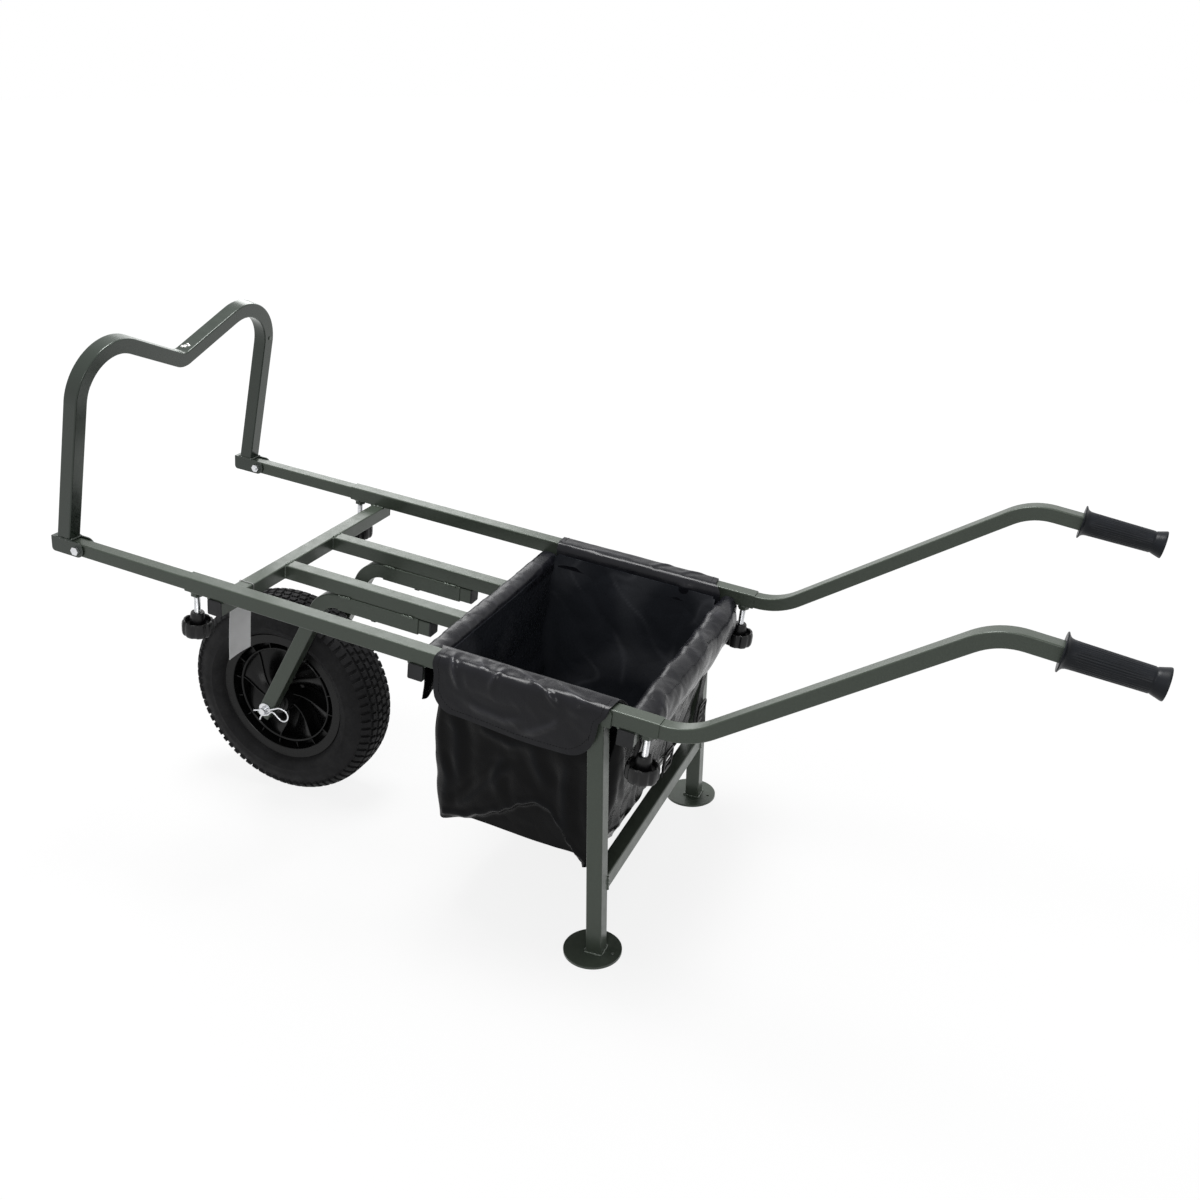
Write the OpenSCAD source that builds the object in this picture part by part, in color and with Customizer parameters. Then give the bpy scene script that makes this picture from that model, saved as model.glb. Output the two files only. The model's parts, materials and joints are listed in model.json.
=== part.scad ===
// Single-wheel fishing trolley: a flat deck of square steel tube on one
// air-filled wheel, with a folding front hoop on sliding tubes, two sliding
// handles, a pair of folding legs and a bag hung between two crossmembers.
// +X runs towards the handles, +Y to the far side and +Z up. The ground is
// z = 0, and the origin lies under the middle of the whole trolley.
// The deck has its own frame: x along the rails from their front end, z = 0
// on top of the rails. It slopes down towards the handles.

/* [Deck] */
// Width over the outer faces of the two rails
deck_w = 500; // [460:1:560]
// Length of each rail
rail_l = 790; // [760:1:860]
// Outer side of the frame tubes
tube_s = 25; // [24:0.5:28]
// Wall of all square tubes
tube_t = 1.2; // [1:0.1:1.5]
// Outer corner radius of the square tubes
tube_r = 2.2; // [1.8:0.1:2.8]
// Slope of the deck, down towards the handles, in degrees
deck_tilt = 6.4; // [5:0.1:8]
// Centre of the front crossmember from the rails' front end
cross_front_x = 58; // [50:1:64]
// Centre of the middle crossmember, ahead of the bag
cross_mid_x = 414; // [400:1:424]
// Centre of the rear crossmember ahead of the rails' rear end
cross_rear_in = 45; // [42:1:49]
// Distance between the inner faces of the two deck bars
bar_gap = 117; // [114:1:130]
// Thickness of the end cap flanges
cap_t = 2.5; // [1.5:0.5:4]
// How far the end cap plugs reach into their tube
cap_plug = 14; // [8:1:20]

/* [Sliding tubes] */
// Gap on each side between a sliding tube and the tube round it
slide_gap = 0.3; // [0.2:0.05:0.5]
// Centre of the hoop pivot bolts ahead of the rails' front end
hoop_pivot_out = 211; // [200:1:230]
// Length of the front sliding tubes inside the rails
front_insert = 160; // [120:1:200]
// How far the front sliding tubes reach past the pivot bolts
front_nose = 44; // [38:1:50]
// Length of each handle tube inside its rail
handle_insert = 105; // [80:1:108]

/* [Hoop] */
// Height of the hoop's crests above the bracket webs
hoop_h = 325; // [280:1:380]
// Lean of the uprights back from the square, in degrees
hoop_lean = 8.4; // [4:0.2:12]
// Radius of the two top corners, on the tube's centre line
hoop_corner_r = 78; // [60:1:95]
// Slope of the two top runs down to the middle, in degrees
hoop_dip = 22.5; // [15:0.5:28]
// Radius of the bend in the middle, on the centre line
hoop_middle_r = 32; // [28:1:45]

/* [U brackets] */
// Sheet thickness of the hoop and leg brackets
bracket_t = 2.5; // [2:0.25:3]
// Depth of the brackets' cheeks, web included
bracket_h = 26; // [24:0.5:26.5]
// Overhang of the bracket past the tube that is welded to it
bracket_over = 11; // [6:1:14]
// From that tube's near face to the pivot bolt
pivot_back = 14.5; // [14:0.5:18]
// Radius of the bracket's round end, round the bolt
bracket_end_r = 13; // [11.5:0.25:14]
// Thread diameter of the pivot bolts
bolt_d = 8; // [6:1:10]
// Running clearance round the pivot bolts, on the radius
pivot_clear = 0.08; // [0.05:0.01:0.1]

/* [Wheel] */
// Outer diameter of the tyre
tyre_d = 380; // [370:1:395]
// Width of the tyre
tyre_w = 98; // [85:1:100]
// Diameter over the rim's edges
rim_d = 246; // [232:1:252]
// Width over the rim's edges
rim_w = 68; // [60:1:72]
// Number of curved ribs on each side of the rim
rib_n = 8; // [6:1:10]
// Diameter of the wheel hub
hub_d = 50; // [42:1:60]
// Length of the hub
hub_l = 100; // [90:1:104]
// Diameter of the axle
axle_d = 12; // [10:0.5:16]
// Running clearance of the hub bushes on the axle, on the radius
axle_clear = 0.08; // [0.05:0.01:0.1]
// Axle centre behind the rails' front end, along the deck
axle_x = 29; // [20:1:40]
// Axle centre below the top of the rails
axle_drop = 318; // [305:1:330]

/* [Fork] */
// Outer side of the fork sleeves under the deck bars
sleeve_s = 28; // [28:0.5:30]
// Length of the fork sleeves
sleeve_l = 150; // [120:1:160]
// Front end of the sleeves behind the rails' front end
sleeve_x = 174; // [172:1:190]
// How far the fork tubes stand out behind the sleeves
fork_tail = 20; // [10:1:26]
// Angle between the fork's struts and the deck's upright, in degrees
fork_rake = 24; // [20:0.5:28]
// Bend radius of the fork tubes, on the centre line
fork_bend_r = 45; // [35:1:50]
// How far the struts reach past the axle
fork_toe = 18; // [14:1:24]

/* [Legs] */
// Leg pivot bolt ahead of the rails' rear end
leg_pivot_in = 119; // [118:1:126]
// Diameter of the round foot plates
foot_d = 90; // [70:1:100]
// Thickness of the foot plates
foot_t = 4; // [3:0.5:6]
// Foot plate centre ahead of the leg's centre
foot_shift = 6; // [0:1:10]
// Outer side of the tube between the legs
brace_s = 25; // [22:0.5:28]
// Height of the brace's centre above the ground
brace_z = 121; // [110:1:135]

/* [Handles] */
// Rise of the handles from the deck, in degrees
handle_rise = 37.8; // [34:0.2:40]
// Where the rising run would meet the rail's line, behind the rail's end
handle_knee = 41; // [40:1:60]
// Radius of the lower handle bend, on the centre line
handle_low_r = 110; // [90:1:115]
// Radius of the upper handle bend, on the centre line
handle_top_r = 90; // [70:1:110]
// Height of the upper bend's corner above the rails' centre line
handle_h = 268; // [240:1:300]
// Droop of the grips from the deck's line, in degrees
grip_droop = 3; // [0:0.5:6]
// From the upper bend's corner to the grip's flange
grip_start = 72; // [64:1:90]
// Length of the rubber grips
grip_l = 118; // [100:1:130]
// Diameter of the grip's body
grip_d = 33; // [32.5:0.5:36]
// Diameter of the grip's flange
grip_flange_d = 50; // [44:1:56]

/* [Clamp screws] */
// Distance of the front clamp screws from the rails' front end
clamp_front = 14; // [13:1:18]
// Distance of the rear clamp screws from the rails' rear end
clamp_rear = 18; // [17:1:20]
// Thread diameter of the clamp screws
screw_d = 10; // [8:1:12]
// Width across flats of the welded nuts
nut_af = 17; // [16:0.5:19]
// Height of the welded nuts
nut_h = 8; // [6:0.5:10]
// Diameter of the knobs
knob_d = 50; // [40:1:50]
// Height of the knob's lobed part
knob_h = 25; // [18:1:30]
// Bottom of the knob below the top of the rails
knob_drop = 101; // [98:1:110]
// Number of lobes on each knob
lobe_n = 8; // [6:1:10]

/* [Bag] */
// Wall of the bag's solid
bag_t = 3; // [2:0.5:4]
// Depth of the bag below the top of the rails
bag_depth = 303; // [260:1:312]
// Drop of the outer flaps below the top of the rails
flap_drop = 88; // [60:1:110]
// How much the bag draws in at the bottom, front and rear
bag_taper = 26; // [10:1:34]
// Drop of the sleeves' lips below the top of the rails
lip_drop = 62; // [54:1:66]

/* [Hang tag] */
// Width of the blank card tag
tag_w = 56; // [40:1:60]
// Length of the card below the crossmember
tag_l = 100; // [70:1:110]

/* [Hidden] */
$fn = 64;
EPS = 0.01;

// Colours
GREEN = [0.31, 0.335, 0.295];
BLACK = [0.07, 0.07, 0.075];
RUBBER = [0.12, 0.12, 0.125];
ZINC = [0.75, 0.76, 0.78];
GREY = [0.2, 0.2, 0.21];
CLOTH = [0.12, 0.12, 0.14];
CARD = [0.8, 0.8, 0.81];

// Places in the deck's frame
slide_s = tube_s - 2 * tube_t - 2 * slide_gap;
slide_r = tube_r;
rail_y = deck_w / 2 - tube_s / 2;
mid_z = -tube_s / 2;
cross_z = -1.5 * tube_s;
bar_y = bar_gap / 2 + tube_s / 2;
hoop_pivot_x = -hoop_pivot_out;
cross_rear_x = rail_l - cross_rear_in;
leg_pivot_x = rail_l - leg_pivot_in;
clamp_xs = [clamp_front, rail_l - clamp_rear];
fork_s = sleeve_s - 2 * tube_t - 2 * slide_gap;
fork_y = bar_y;
sleeve_z = -2 * tube_s - sleeve_s / 2;

// Fit clearances
fit = 0.3;
hole_fit = 0.5;

// Bends
swell = 0.05;
lap = 0.6;

// Brackets: a is the bolt, the web lies beyond the tube that it straddles
bracket_front = pivot_back + tube_s + bracket_over;
bolt_head_af = 1.625 * bolt_d;
bolt_head_h = 0.66 * bolt_d;
bolt_nut_h = 0.8 * bolt_d;
foot_hole_d = 5;
foot_hole_in = 12;

// Wheel
tyre_r = tyre_d / 2;
rim_r = rim_d / 2;
tyre_wall = 7;
tread_t = 11;
bead_r = rim_r - 12;
bead_w = 8;
flange_t = 4;
flange_foot = 10;
bush_d = 28;
bush_l = 20;
bush_flange_d = 36;
bush_flange_t = 3;
barrel_t = 3;
channel_w = 13;
inner_ring_t = 3;
inner_ring_drop = 7;
channel_floor = 24;
fin_t = 2.5;
web_t = 5;
rib_t = 3.5;
rib_sweep = 55;
fin_turn = 5;
valve_in = 30;
washer_t = 1.5;
washer_d = 2 * axle_d;
clip_d = 3;
clip_out = 5;
clip_turn = 71;
clip_tail = 23;
clip_reach = 37;
clip_eye = 22;

// From the deck's frame to the ground
sin_t = sin(deck_tilt);
cos_t = cos(deck_tilt);
function deck_rx(x, z) = x * cos_t + z * sin_t;
function deck_rz(x, z) = z * cos_t - x * sin_t;
lift = tyre_r - deck_rz(axle_x, -axle_drop);

// Handle centre line, from the rail's end
knee_x = rail_l + handle_knee;
crest_x = knee_x + handle_h / tan(handle_rise);
crest_z = mid_z + handle_h;
crest_turn = handle_rise + grip_droop;
grip_end = grip_start + grip_l;
grip_tip_x = crest_x + grip_end * cos(grip_droop);
grip_tip_z = crest_z - grip_end * sin(grip_droop);
grip_mouth_r = grip_d / 2 + 4;
tip_slope = deck_tilt + grip_droop;

// The origin lies under the middle of the whole length
nose_x = hoop_pivot_x - bracket_front;
nose_z = mid_z + slide_s / 2 + fit + bracket_t - bracket_h;
x_min = deck_rx(nose_x, nose_z);
x_max = deck_rx(grip_tip_x, grip_tip_z) + grip_mouth_r * sin(tip_slope);
shift = -(x_min + x_max) / 2;

// Leg: upright on the ground, welded under the bracket's web
leg_web_z = -tube_s - fit - bracket_t;
leg_top_x = leg_pivot_x + pivot_back + tube_s / 2;
leg_x = deck_rx(leg_top_x, leg_web_z) + shift;
leg_top = deck_rz(leg_top_x, leg_web_z) + lift;

// Moves the deck's frame onto the ground
module deck() {
    translate([shift, 0, lift]) rotate([0, deck_tilt, 0]) children();
}

// Both sides: -1 is the near side and 1 the far side
module both_sides() {
    for (side = [-1, 1]) scale_side(side) children();
}

// The near side is the mirror image of the far side
module scale_side(side) {
    if (side > 0) children();
    else mirror([0, 1, 0]) children();
}

// Square with round corners, made of exact arcs
module soft_square(s, r) {
    square([s, s - 2 * r], center = true);
    square([s - 2 * r, s], center = true);
    for (x = [-1, 1], y = [-1, 1])
        translate([x * (s / 2 - r), y * (s / 2 - r)]) circle(r = r, $fn = 32);
}

// Section of a square tube
module tube_section(s, r, t) {
    difference() {
        soft_square(s, r);
        soft_square(s - 2 * t, max(0.4, r - t));
    }
}

// Square tube along +X from x = 0
module tube_x(l, s = tube_s, r = tube_r) {
    rotate([90, 0, 90]) linear_extrude(l) tube_section(s, r, tube_t);
}

// Solid that a square tube fills, along +X from x = 0
module core_x(l, s, r) {
    rotate([90, 0, 90]) linear_extrude(l) soft_square(s, r);
}

// Square tube along +Y, centred on y = 0
module tube_y(l, s = tube_s) {
    rotate([90, 0, 0]) linear_extrude(l, center = true) tube_section(s, tube_r, tube_t);
}

// Bend that turns a tube from +X upwards to +Z, with its end at the origin. The
// walls swell a little in bending, so they close over the straight runs' ends.
module bend_up(turn, bend_r, s, r) {
    translate([0, 0, bend_r]) rotate([90, 0, 0]) rotate([0, 0, -90])
        rotate_extrude(angle = turn, $fn = 96) translate([bend_r, 0])
            tube_section(s + 2 * swell, r + swell, tube_t + 2 * swell);
}

// The same bend downwards
module bend_down(turn, bend_r, s, r) {
    mirror([0, 0, 1]) bend_up(turn, bend_r, s, r);
}

// Straight run that laps into the bends at its ends: 1 for a bend, 0 for none
module run(l, s, r, before, after) {
    translate([-before * lap, 0, 0]) tube_x(l + (before + after) * lap, s, r);
}

// Moves to the end of an upward bend and turns with it
module after_up(turn, bend_r) {
    translate([bend_r * sin(turn), 0, bend_r * (1 - cos(turn))])
        rotate([0, -turn, 0]) children();
}

// Moves to the end of a downward bend and turns with it
module after_down(turn, bend_r) {
    translate([bend_r * sin(turn), 0, -bend_r * (1 - cos(turn))])
        rotate([0, turn, 0]) children();
}

// Hexagon prism with its flats a given width apart, from z = 0
module hex(af, h) {
    cylinder(d = af / cos(30), h = h, $fn = 6);
}

// Far rail: pivot bolt bore across it, a screw hole under each end
module rail() {
    difference() {
        translate([0, rail_y, mid_z]) tube_x(rail_l);
        translate([leg_pivot_x, rail_y, mid_z]) rotate([90, 0, 0])
            cylinder(d = bolt_d + 2 * pivot_clear, h = 2 * tube_s, center = true);
        for (x = clamp_xs) translate([x, rail_y, -tube_s])
            cylinder(d = screw_d + 2 * hole_fit, h = 2 * tube_t + 2, center = true);
    }
}

module rail_near() { color(GREEN) deck() scale_side(-1) rail(); }
module rail_far() { color(GREEN) deck() rail(); }

// Crossmember under the rails
module crossmember(x) {
    color(GREEN) deck() translate([x, 0, cross_z]) tube_y(deck_w);
}

module crossmember_front() { crossmember(cross_front_x); }
module crossmember_middle() { crossmember(cross_mid_x); }
module crossmember_rear() { crossmember(cross_rear_x); }

// Bars between the front and middle crossmembers
module deck_bar(side) {
    bar_l = cross_mid_x - cross_front_x - tube_s;
    color(GREEN) deck() translate([cross_front_x + tube_s / 2, side * bar_y, cross_z]) tube_x(bar_l);
}

module deck_bar_near() { deck_bar(-1); }
module deck_bar_far() { deck_bar(1); }

// Plug and flange that close a tube's end, pointing along +X
module end_cap(s, r) {
    core_x(cap_t, s, r);
    translate([-cap_plug, 0, 0]) core_x(cap_plug, s - 2 * tube_t - 2 * fit, max(0.4, r - tube_t));
}

// Six caps in the crossmembers' ends
module tube_end_caps() {
    color(GREY) deck() both_sides()
        for (x = [cross_front_x, cross_mid_x, cross_rear_x])
            translate([x, deck_w / 2, cross_z]) rotate([0, 0, 90]) end_cap(tube_s, tube_r);
}

// Nut welded under each end of each rail
module clamp_nuts() {
    color(GREEN) deck() both_sides()
        for (x = clamp_xs) translate([x, rail_y, -tube_s - nut_h]) difference() {
            hex(nut_af, nut_h);
            translate([0, 0, -1]) cylinder(d = screw_d + 2 * pivot_clear, h = nut_h + 2);
        }
}

// Sleeve under a deck bar, with a screw hole underneath
module fork_sleeve(side) {
    color(GREEN) deck() difference() {
        translate([sleeve_x, side * fork_y, sleeve_z]) tube_x(sleeve_l, sleeve_s);
        translate([fork_screw_x, side * fork_y, sleeve_z - sleeve_s / 2])
            cylinder(d = bolt_d + 2 * fit, h = 4 * tube_t, center = true);
    }
}

fork_screw_x = sleeve_x + sleeve_l * 0.42;

module fork_sleeve_near() { fork_sleeve(-1); }
module fork_sleeve_far() { fork_sleeve(1); }

// Fork arm: a level run inside the sleeve, a bend and a strut to the axle
fork_turn = 90 - fork_rake;
fork_set_back = fork_bend_r * tan(fork_turn / 2);
fork_corner_x = axle_x + (axle_drop + sleeve_z) * tan(fork_rake);
fork_run_l = sleeve_x + sleeve_l + fork_tail - fork_corner_x - fork_set_back;
fork_strut_l = (axle_drop + sleeve_z) / cos(fork_rake) - fork_set_back;

module fork_arm(side) {
    color(GREEN) deck() translate([fork_corner_x, side * fork_y, sleeve_z]) mirror([1, 0, 0])
        difference() {
            union() {
                translate([-fork_set_back - fork_run_l, 0, 0]) run(fork_run_l, fork_s, tube_r, 0, 1);
                translate([-fork_set_back, 0, 0]) {
                    bend_down(fork_turn, fork_bend_r, fork_s, tube_r);
                    after_down(fork_turn, fork_bend_r) run(fork_strut_l + fork_toe, fork_s, tube_r, 1, 0);
                }
            }
            translate([fork_corner_x - axle_x, 0, -axle_drop - sleeve_z]) rotate([90, 0, 0])
                cylinder(d = axle_d + 2 * hole_fit, h = 2 * fork_s, center = true);
        }
}

module fork_arm_near() { fork_arm(-1); }
module fork_arm_far() { fork_arm(1); }

// Caps in the rear ends of the fork tubes
module fork_end_caps() {
    color(BLACK) deck() both_sides()
        translate([sleeve_x + sleeve_l + fork_tail, fork_y, sleeve_z]) end_cap(fork_s, tube_r);
}

// Set screws that hold the fork tubes in their sleeves
module fork_set_screws() {
    reach = sleeve_s / 2 - fork_s / 2 - fit;
    color(BLACK) deck() both_sides()
        translate([fork_screw_x, fork_y, sleeve_z - sleeve_s / 2]) {
            cylinder(d = bolt_d, h = reach);
            translate([0, 0, -bolt_head_h]) hex(bolt_head_af, bolt_head_h);
        }
}

// Moves to the axle's centre, with +Z of the children along +Y
module at_axle() {
    deck() translate([axle_x, 0, -axle_drop]) rotate([-90, 0, 0]) children();
}

strut_out = fork_y + fork_s / 2;
clip_y = strut_out + washer_t + fit + clip_d / 2 + fit;
axle_half = clip_y + clip_d + clip_out;

// Axle with a cross hole for the spring clip at each end
module axle() {
    color(ZINC) at_axle() difference() {
        cylinder(d = axle_d, h = 2 * axle_half, center = true);
        for (side = [-1, 1]) translate([0, 0, side * clip_y]) rotate([90, 0, clip_turn])
            cylinder(d = clip_d + 2 * fit, h = 2 * axle_d, center = true);
    }
}

// Washers outside the fork struts
module axle_washers() {
    color(ZINC) at_axle()
        for (side = [-1, 1])
            translate([0, 0, side * (strut_out + fit + washer_t / 2)]) difference() {
                cylinder(d = washer_d, h = washer_t, center = true);
                cylinder(d = axle_d + 2 * fit, h = 2 * washer_t, center = true);
            }
}

// Clips beside the struts, one leg through the axle
module axle_clips() {
    color(ZINC) at_axle()
        for (side = [-1, 1]) translate([0, 0, side * clip_y]) rotate([0, 0, clip_turn]) clip_shape();
}

// The clip lies across the axle, in the plane of its cross hole: a straight
// leg through the axle, a round eye, and a leg that comes back outside it
module clip_shape() {
    rise = axle_d / 2 + clip_d / 2 + fit;
    eye_r = (clip_eye - clip_d) / 2;
    meet = acos((rise - eye_r) / eye_r);
    back_y = -clip_reach + eye_r * sin(meet) - clip_d / 3;
    rotate([90, 0, 0]) translate([0, 0, -clip_tail])
        cylinder(d = clip_d, h = clip_tail + clip_reach + EPS, $fn = 24);
    translate([eye_r, -clip_reach, 0]) rotate([0, 0, 180])
        rotate_extrude(angle = 188 + meet, $fn = 48) translate([eye_r, 0]) circle(d = clip_d, $fn = 24);
    translate([rise, back_y, 0]) rotate([-90, 0, 0])
        cylinder(d = clip_d, h = axle_d / 2 - back_y, $fn = 24);
}

// Tyre: tread, shoulders and two beads round a hollow. One half of the section
// runs from the middle of the tread round a bead and back to the middle.
crown = 4;
shoulder_r = 26;
shoulder_in = 5;
bead_fit = 0.5;
tyre_half = concat(
    [for (a = [90:-10:0]) [
        tyre_r - shoulder_r + shoulder_r * sin(a) - crown * pow(cos(a), 4),
        (tyre_w / 2 - shoulder_in) * cos(a)
    ]],
    [[tyre_r - 40, tyre_w / 2], [rim_r + 14, tyre_w / 2 - 2]],
    [[rim_r + 3, rim_w / 2 + 4], [rim_r + 1, rim_w / 2 - flange_t - bead_fit]],
    [[bead_r, rim_w / 2 - flange_foot - bead_fit], [bead_r, rim_w / 2 - flange_foot - bead_w]],
    [[rim_r + 2, rim_w / 2 - 11], [rim_r + 10, rim_w / 2 + 3]],
    [[tyre_r - 42, tyre_w / 2 - tyre_wall], [tyre_r - 26, tyre_w / 2 - tyre_wall - 2]],
    [[tyre_r - 18, tyre_w / 2 - 20], [tyre_r - tread_t, tyre_w / 2 - 34], [tyre_r - tread_t, 0]]
);

module tyre() {
    far_half = [for (i = [len(tyre_half) - 2:-1:1]) [tyre_half[i][0], -tyre_half[i][1]]];
    color(RUBBER) at_axle() rotate_extrude($fn = 128) polygon(concat(tyre_half, far_half));
}

// Air tube: a ring inside the tyre, with its valve through the rim
tube_ring_r = (tyre_r - tread_t + rim_r) / 2 - 2;
tube_ring_d = tyre_r - tread_t - rim_r - 2;
valve_d = 7;

// Moves to the valve's inner end, with +Z outwards, between two fins of the rim
module at_valve() {
    rotate([0, 0, fin_turn + 90 / rib_n]) rotate([0, 90, 0]) translate([0, 0, bead_r - valve_in]) children();
}

module inner_tube() {
    color(BLACK) at_axle() {
        difference() {
            union() {
                rotate_extrude($fn = 96) translate([tube_ring_r, 0]) circle(d = tube_ring_d);
                at_valve() cylinder(d = valve_d, h = tube_ring_r - bead_r + valve_in);
            }
            rotate_extrude($fn = 96) translate([tube_ring_r, 0]) circle(d = tube_ring_d - 4);
        }
    }
}

// Rim: barrel with two edges, an inner ring joined to it by a channel that fins
// cross, a middle web, a hub and curved ribs
barrel_in = bead_r - 1 - barrel_t;
ring_out = barrel_in - channel_w;
ring_in = ring_out - inner_ring_t;
ring_half = rim_w / 2 - inner_ring_drop;

module rim_section() {
    half = rim_w / 2;
    polygon([
        [barrel_in, -half], [rim_r, -half], [rim_r, -half + flange_t],
        [bead_r - 1, -half + flange_foot], [bead_r - 1, half - flange_foot],
        [rim_r, half - flange_t], [rim_r, half], [barrel_in, half]
    ]);
    translate([ring_in, -ring_half]) square([inner_ring_t, 2 * ring_half]);
    translate([ring_out - 1, -channel_floor / 2]) square([channel_w + 2, channel_floor]);
    translate([hub_d / 2 - 4, -web_t / 2]) square([ring_in - hub_d / 2 + 5, web_t]);
}

module rim() {
    color(BLACK) at_axle() difference() {
        union() {
            rotate_extrude($fn = 128) rim_section();
            cylinder(d = hub_d, h = hub_l, center = true);
            for (side = [-1, 1]) {
                for (k = [0:rib_n - 1]) rotate([0, 0, fin_turn + k * 360 / rib_n]) rim_rib(side);
                for (k = [0:2 * rib_n - 1]) rotate([0, 0, fin_turn + k * 180 / rib_n])
                    translate([ring_out - 1, -fin_t / 2, side > 0 ? 0 : 1 - ring_half])
                        cube([channel_w + 2, fin_t, ring_half - 1]);
            }
        }
        cylinder(d = bush_d + 2 * fit, h = 2 * hub_l, center = true);
        at_valve() translate([0, 0, -3]) cylinder(d = valve_d + 2, h = rim_d);
    }
}

// One curved rib, from the hub to the inner ring
module rim_rib(side) {
    inner = hub_d / 2 - 3;
    span = ring_in + 1 - inner;
    arc_r = span / (2 * sin(rib_sweep / 2));
    rib_h = ring_half - 2;
    translate([inner, 0, side > 0 ? 0 : -rib_h])
        translate([span / 2, -arc_r * cos(rib_sweep / 2), 0])
            rotate([0, 0, 90 - rib_sweep / 2])
                rotate_extrude(angle = rib_sweep, $fn = 96)
                    translate([arc_r - rib_t / 2, 0]) square([rib_t, rib_h]);
}

// Plastic bushes pressed into the hub
module hub_bushes() {
    color(GREY) at_axle() both_ends() difference() {
        union() {
            translate([0, 0, hub_l / 2 - bush_l]) cylinder(d = bush_d, h = bush_l + EPS);
            translate([0, 0, hub_l / 2]) cylinder(d = bush_flange_d, h = bush_flange_t);
        }
        translate([0, 0, hub_l / 2 - bush_l - 1])
            cylinder(d = axle_d + 2 * axle_clear, h = bush_l + bush_flange_t + 2);
    }
}

module both_ends() {
    children();
    mirror([0, 0, 1]) children();
}

// Sliding front tube, with the pivot bolt's bore across it
front_tube_l = hoop_pivot_out + front_nose + front_insert;

module front_tube(side) {
    color(GREEN) deck() difference() {
        translate([hoop_pivot_x - front_nose, side * rail_y, mid_z]) tube_x(front_tube_l, slide_s, slide_r);
        translate([hoop_pivot_x, side * rail_y, mid_z]) rotate([90, 0, 0])
            cylinder(d = bolt_d + 2 * pivot_clear, h = 2 * tube_s, center = true);
    }
}

module front_tube_near() { front_tube(-1); }
module front_tube_far() { front_tube(1); }

// Pivot bolt along Y across a tube: its head outside and its nut inside
module pivot_bolt(inside) {
    half = inside / 2 + fit + bracket_t;
    rotate([-90, 0, 0]) {
        translate([0, 0, -half - bolt_nut_h - 3]) cylinder(d = bolt_d, h = 2 * half + bolt_nut_h + 3 + EPS);
        translate([0, 0, half + fit]) hex(bolt_head_af, bolt_head_h);
    }
}

module pivot_nut(inside) {
    half = inside / 2 + fit + bracket_t;
    rotate([90, 0, 0]) translate([0, 0, half + fit]) difference() {
        hex(bolt_head_af, bolt_nut_h);
        translate([0, 0, -1]) cylinder(d = bolt_d, h = bolt_nut_h + 2);
    }
}

module at_pivots(x) {
    deck() both_sides() translate([x, rail_y, mid_z]) children();
}

module hoop_bolts() { color(ZINC) at_pivots(hoop_pivot_x) pivot_bolt(slide_s); }
module hoop_nuts() { color(ZINC) at_pivots(hoop_pivot_x) pivot_nut(slide_s); }
module leg_bolts() { color(ZINC) at_pivots(leg_pivot_x) pivot_bolt(tube_s); }
module leg_nuts() { color(ZINC) at_pivots(leg_pivot_x) pivot_nut(tube_s); }

// U bracket astride a tube: the bolt at the origin, the web on top, the square
// end towards -X and the round end towards +X
module u_bracket(inside) {
    half = inside / 2 + fit;
    web_z = half;
    difference() {
        union() {
            translate([-bracket_front, -half - bracket_t, web_z])
                cube([tube_s + bracket_over + 2, 2 * half + 2 * bracket_t, bracket_t]);
            for (y = [-half - bracket_t, half]) translate([0, y, 0]) cheek(web_z + bracket_t);
        }
        rotate([90, 0, 0]) cylinder(d = bolt_d + 2 * pivot_clear, h = 2 * tube_s, center = true);
    }
}

// One cheek of a bracket, bracket_t thick, under its top edge
module cheek(top) {
    low = top - bracket_h;
    corner = 6;
    translate([0, bracket_t, 0]) rotate([90, 0, 0]) linear_extrude(bracket_t) {
        translate([-bracket_front, low + corner]) square([bracket_front, top - low - corner]);
        translate([-bracket_front + corner, low]) square([bracket_front - corner, corner + EPS]);
        translate([-bracket_front + corner, low + corner]) circle(r = corner, $fn = 32);
        intersection() {
            translate([0, (top + low) / 2]) circle(r = bracket_end_r);
            translate([-bracket_end_r, low]) square([2 * bracket_end_r, bracket_h]);
        }
        square([bracket_end_r * 0.6, EPS]);
    }
}

module hoop_bracket(side) {
    color(GREEN) deck() translate([hoop_pivot_x, side * rail_y, mid_z]) u_bracket(slide_s);
}

module hoop_bracket_near() { hoop_bracket(-1); }
module hoop_bracket_far() { hoop_bracket(1); }

// Leg brackets are the same, upside down and the other way round
module leg_bracket(side) {
    color(GREEN) deck() translate([leg_pivot_x, side * rail_y, mid_z]) rotate([0, 180, 0]) u_bracket(tube_s);
}

module leg_bracket_near() { leg_bracket(-1); }
module leg_bracket_far() { leg_bracket(1); }

// Hoop: two uprights, two top corners and two runs that meet in the middle
hoop_base_z = mid_z + slide_s / 2 + fit + bracket_t;
hoop_turn = 90 + hoop_dip;
hoop_crest = hoop_h - tube_s / 2;
hoop_up_l = hoop_crest - hoop_corner_r;
corner_end_y = rail_y - hoop_corner_r * (1 + sin(hoop_dip));
middle_half = hoop_middle_r * sin(hoop_dip);
hoop_run_l = (corner_end_y - middle_half) / cos(hoop_dip);

module hoop_half() {
    // The upright starts a little low and is trimmed level with the web
    translate([0, rail_y, 0]) rotate([0, 0, 90]) rotate([0, -90, 0]) {
        translate([-8, 0, 0]) run(hoop_up_l + 8, tube_s, tube_r, 0, 1);
        translate([hoop_up_l, 0, 0]) {
            bend_up(hoop_turn, hoop_corner_r, tube_s, tube_r);
            after_up(hoop_turn, hoop_corner_r) run(hoop_run_l, tube_s, tube_r, 1, 1);
        }
    }
}

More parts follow.
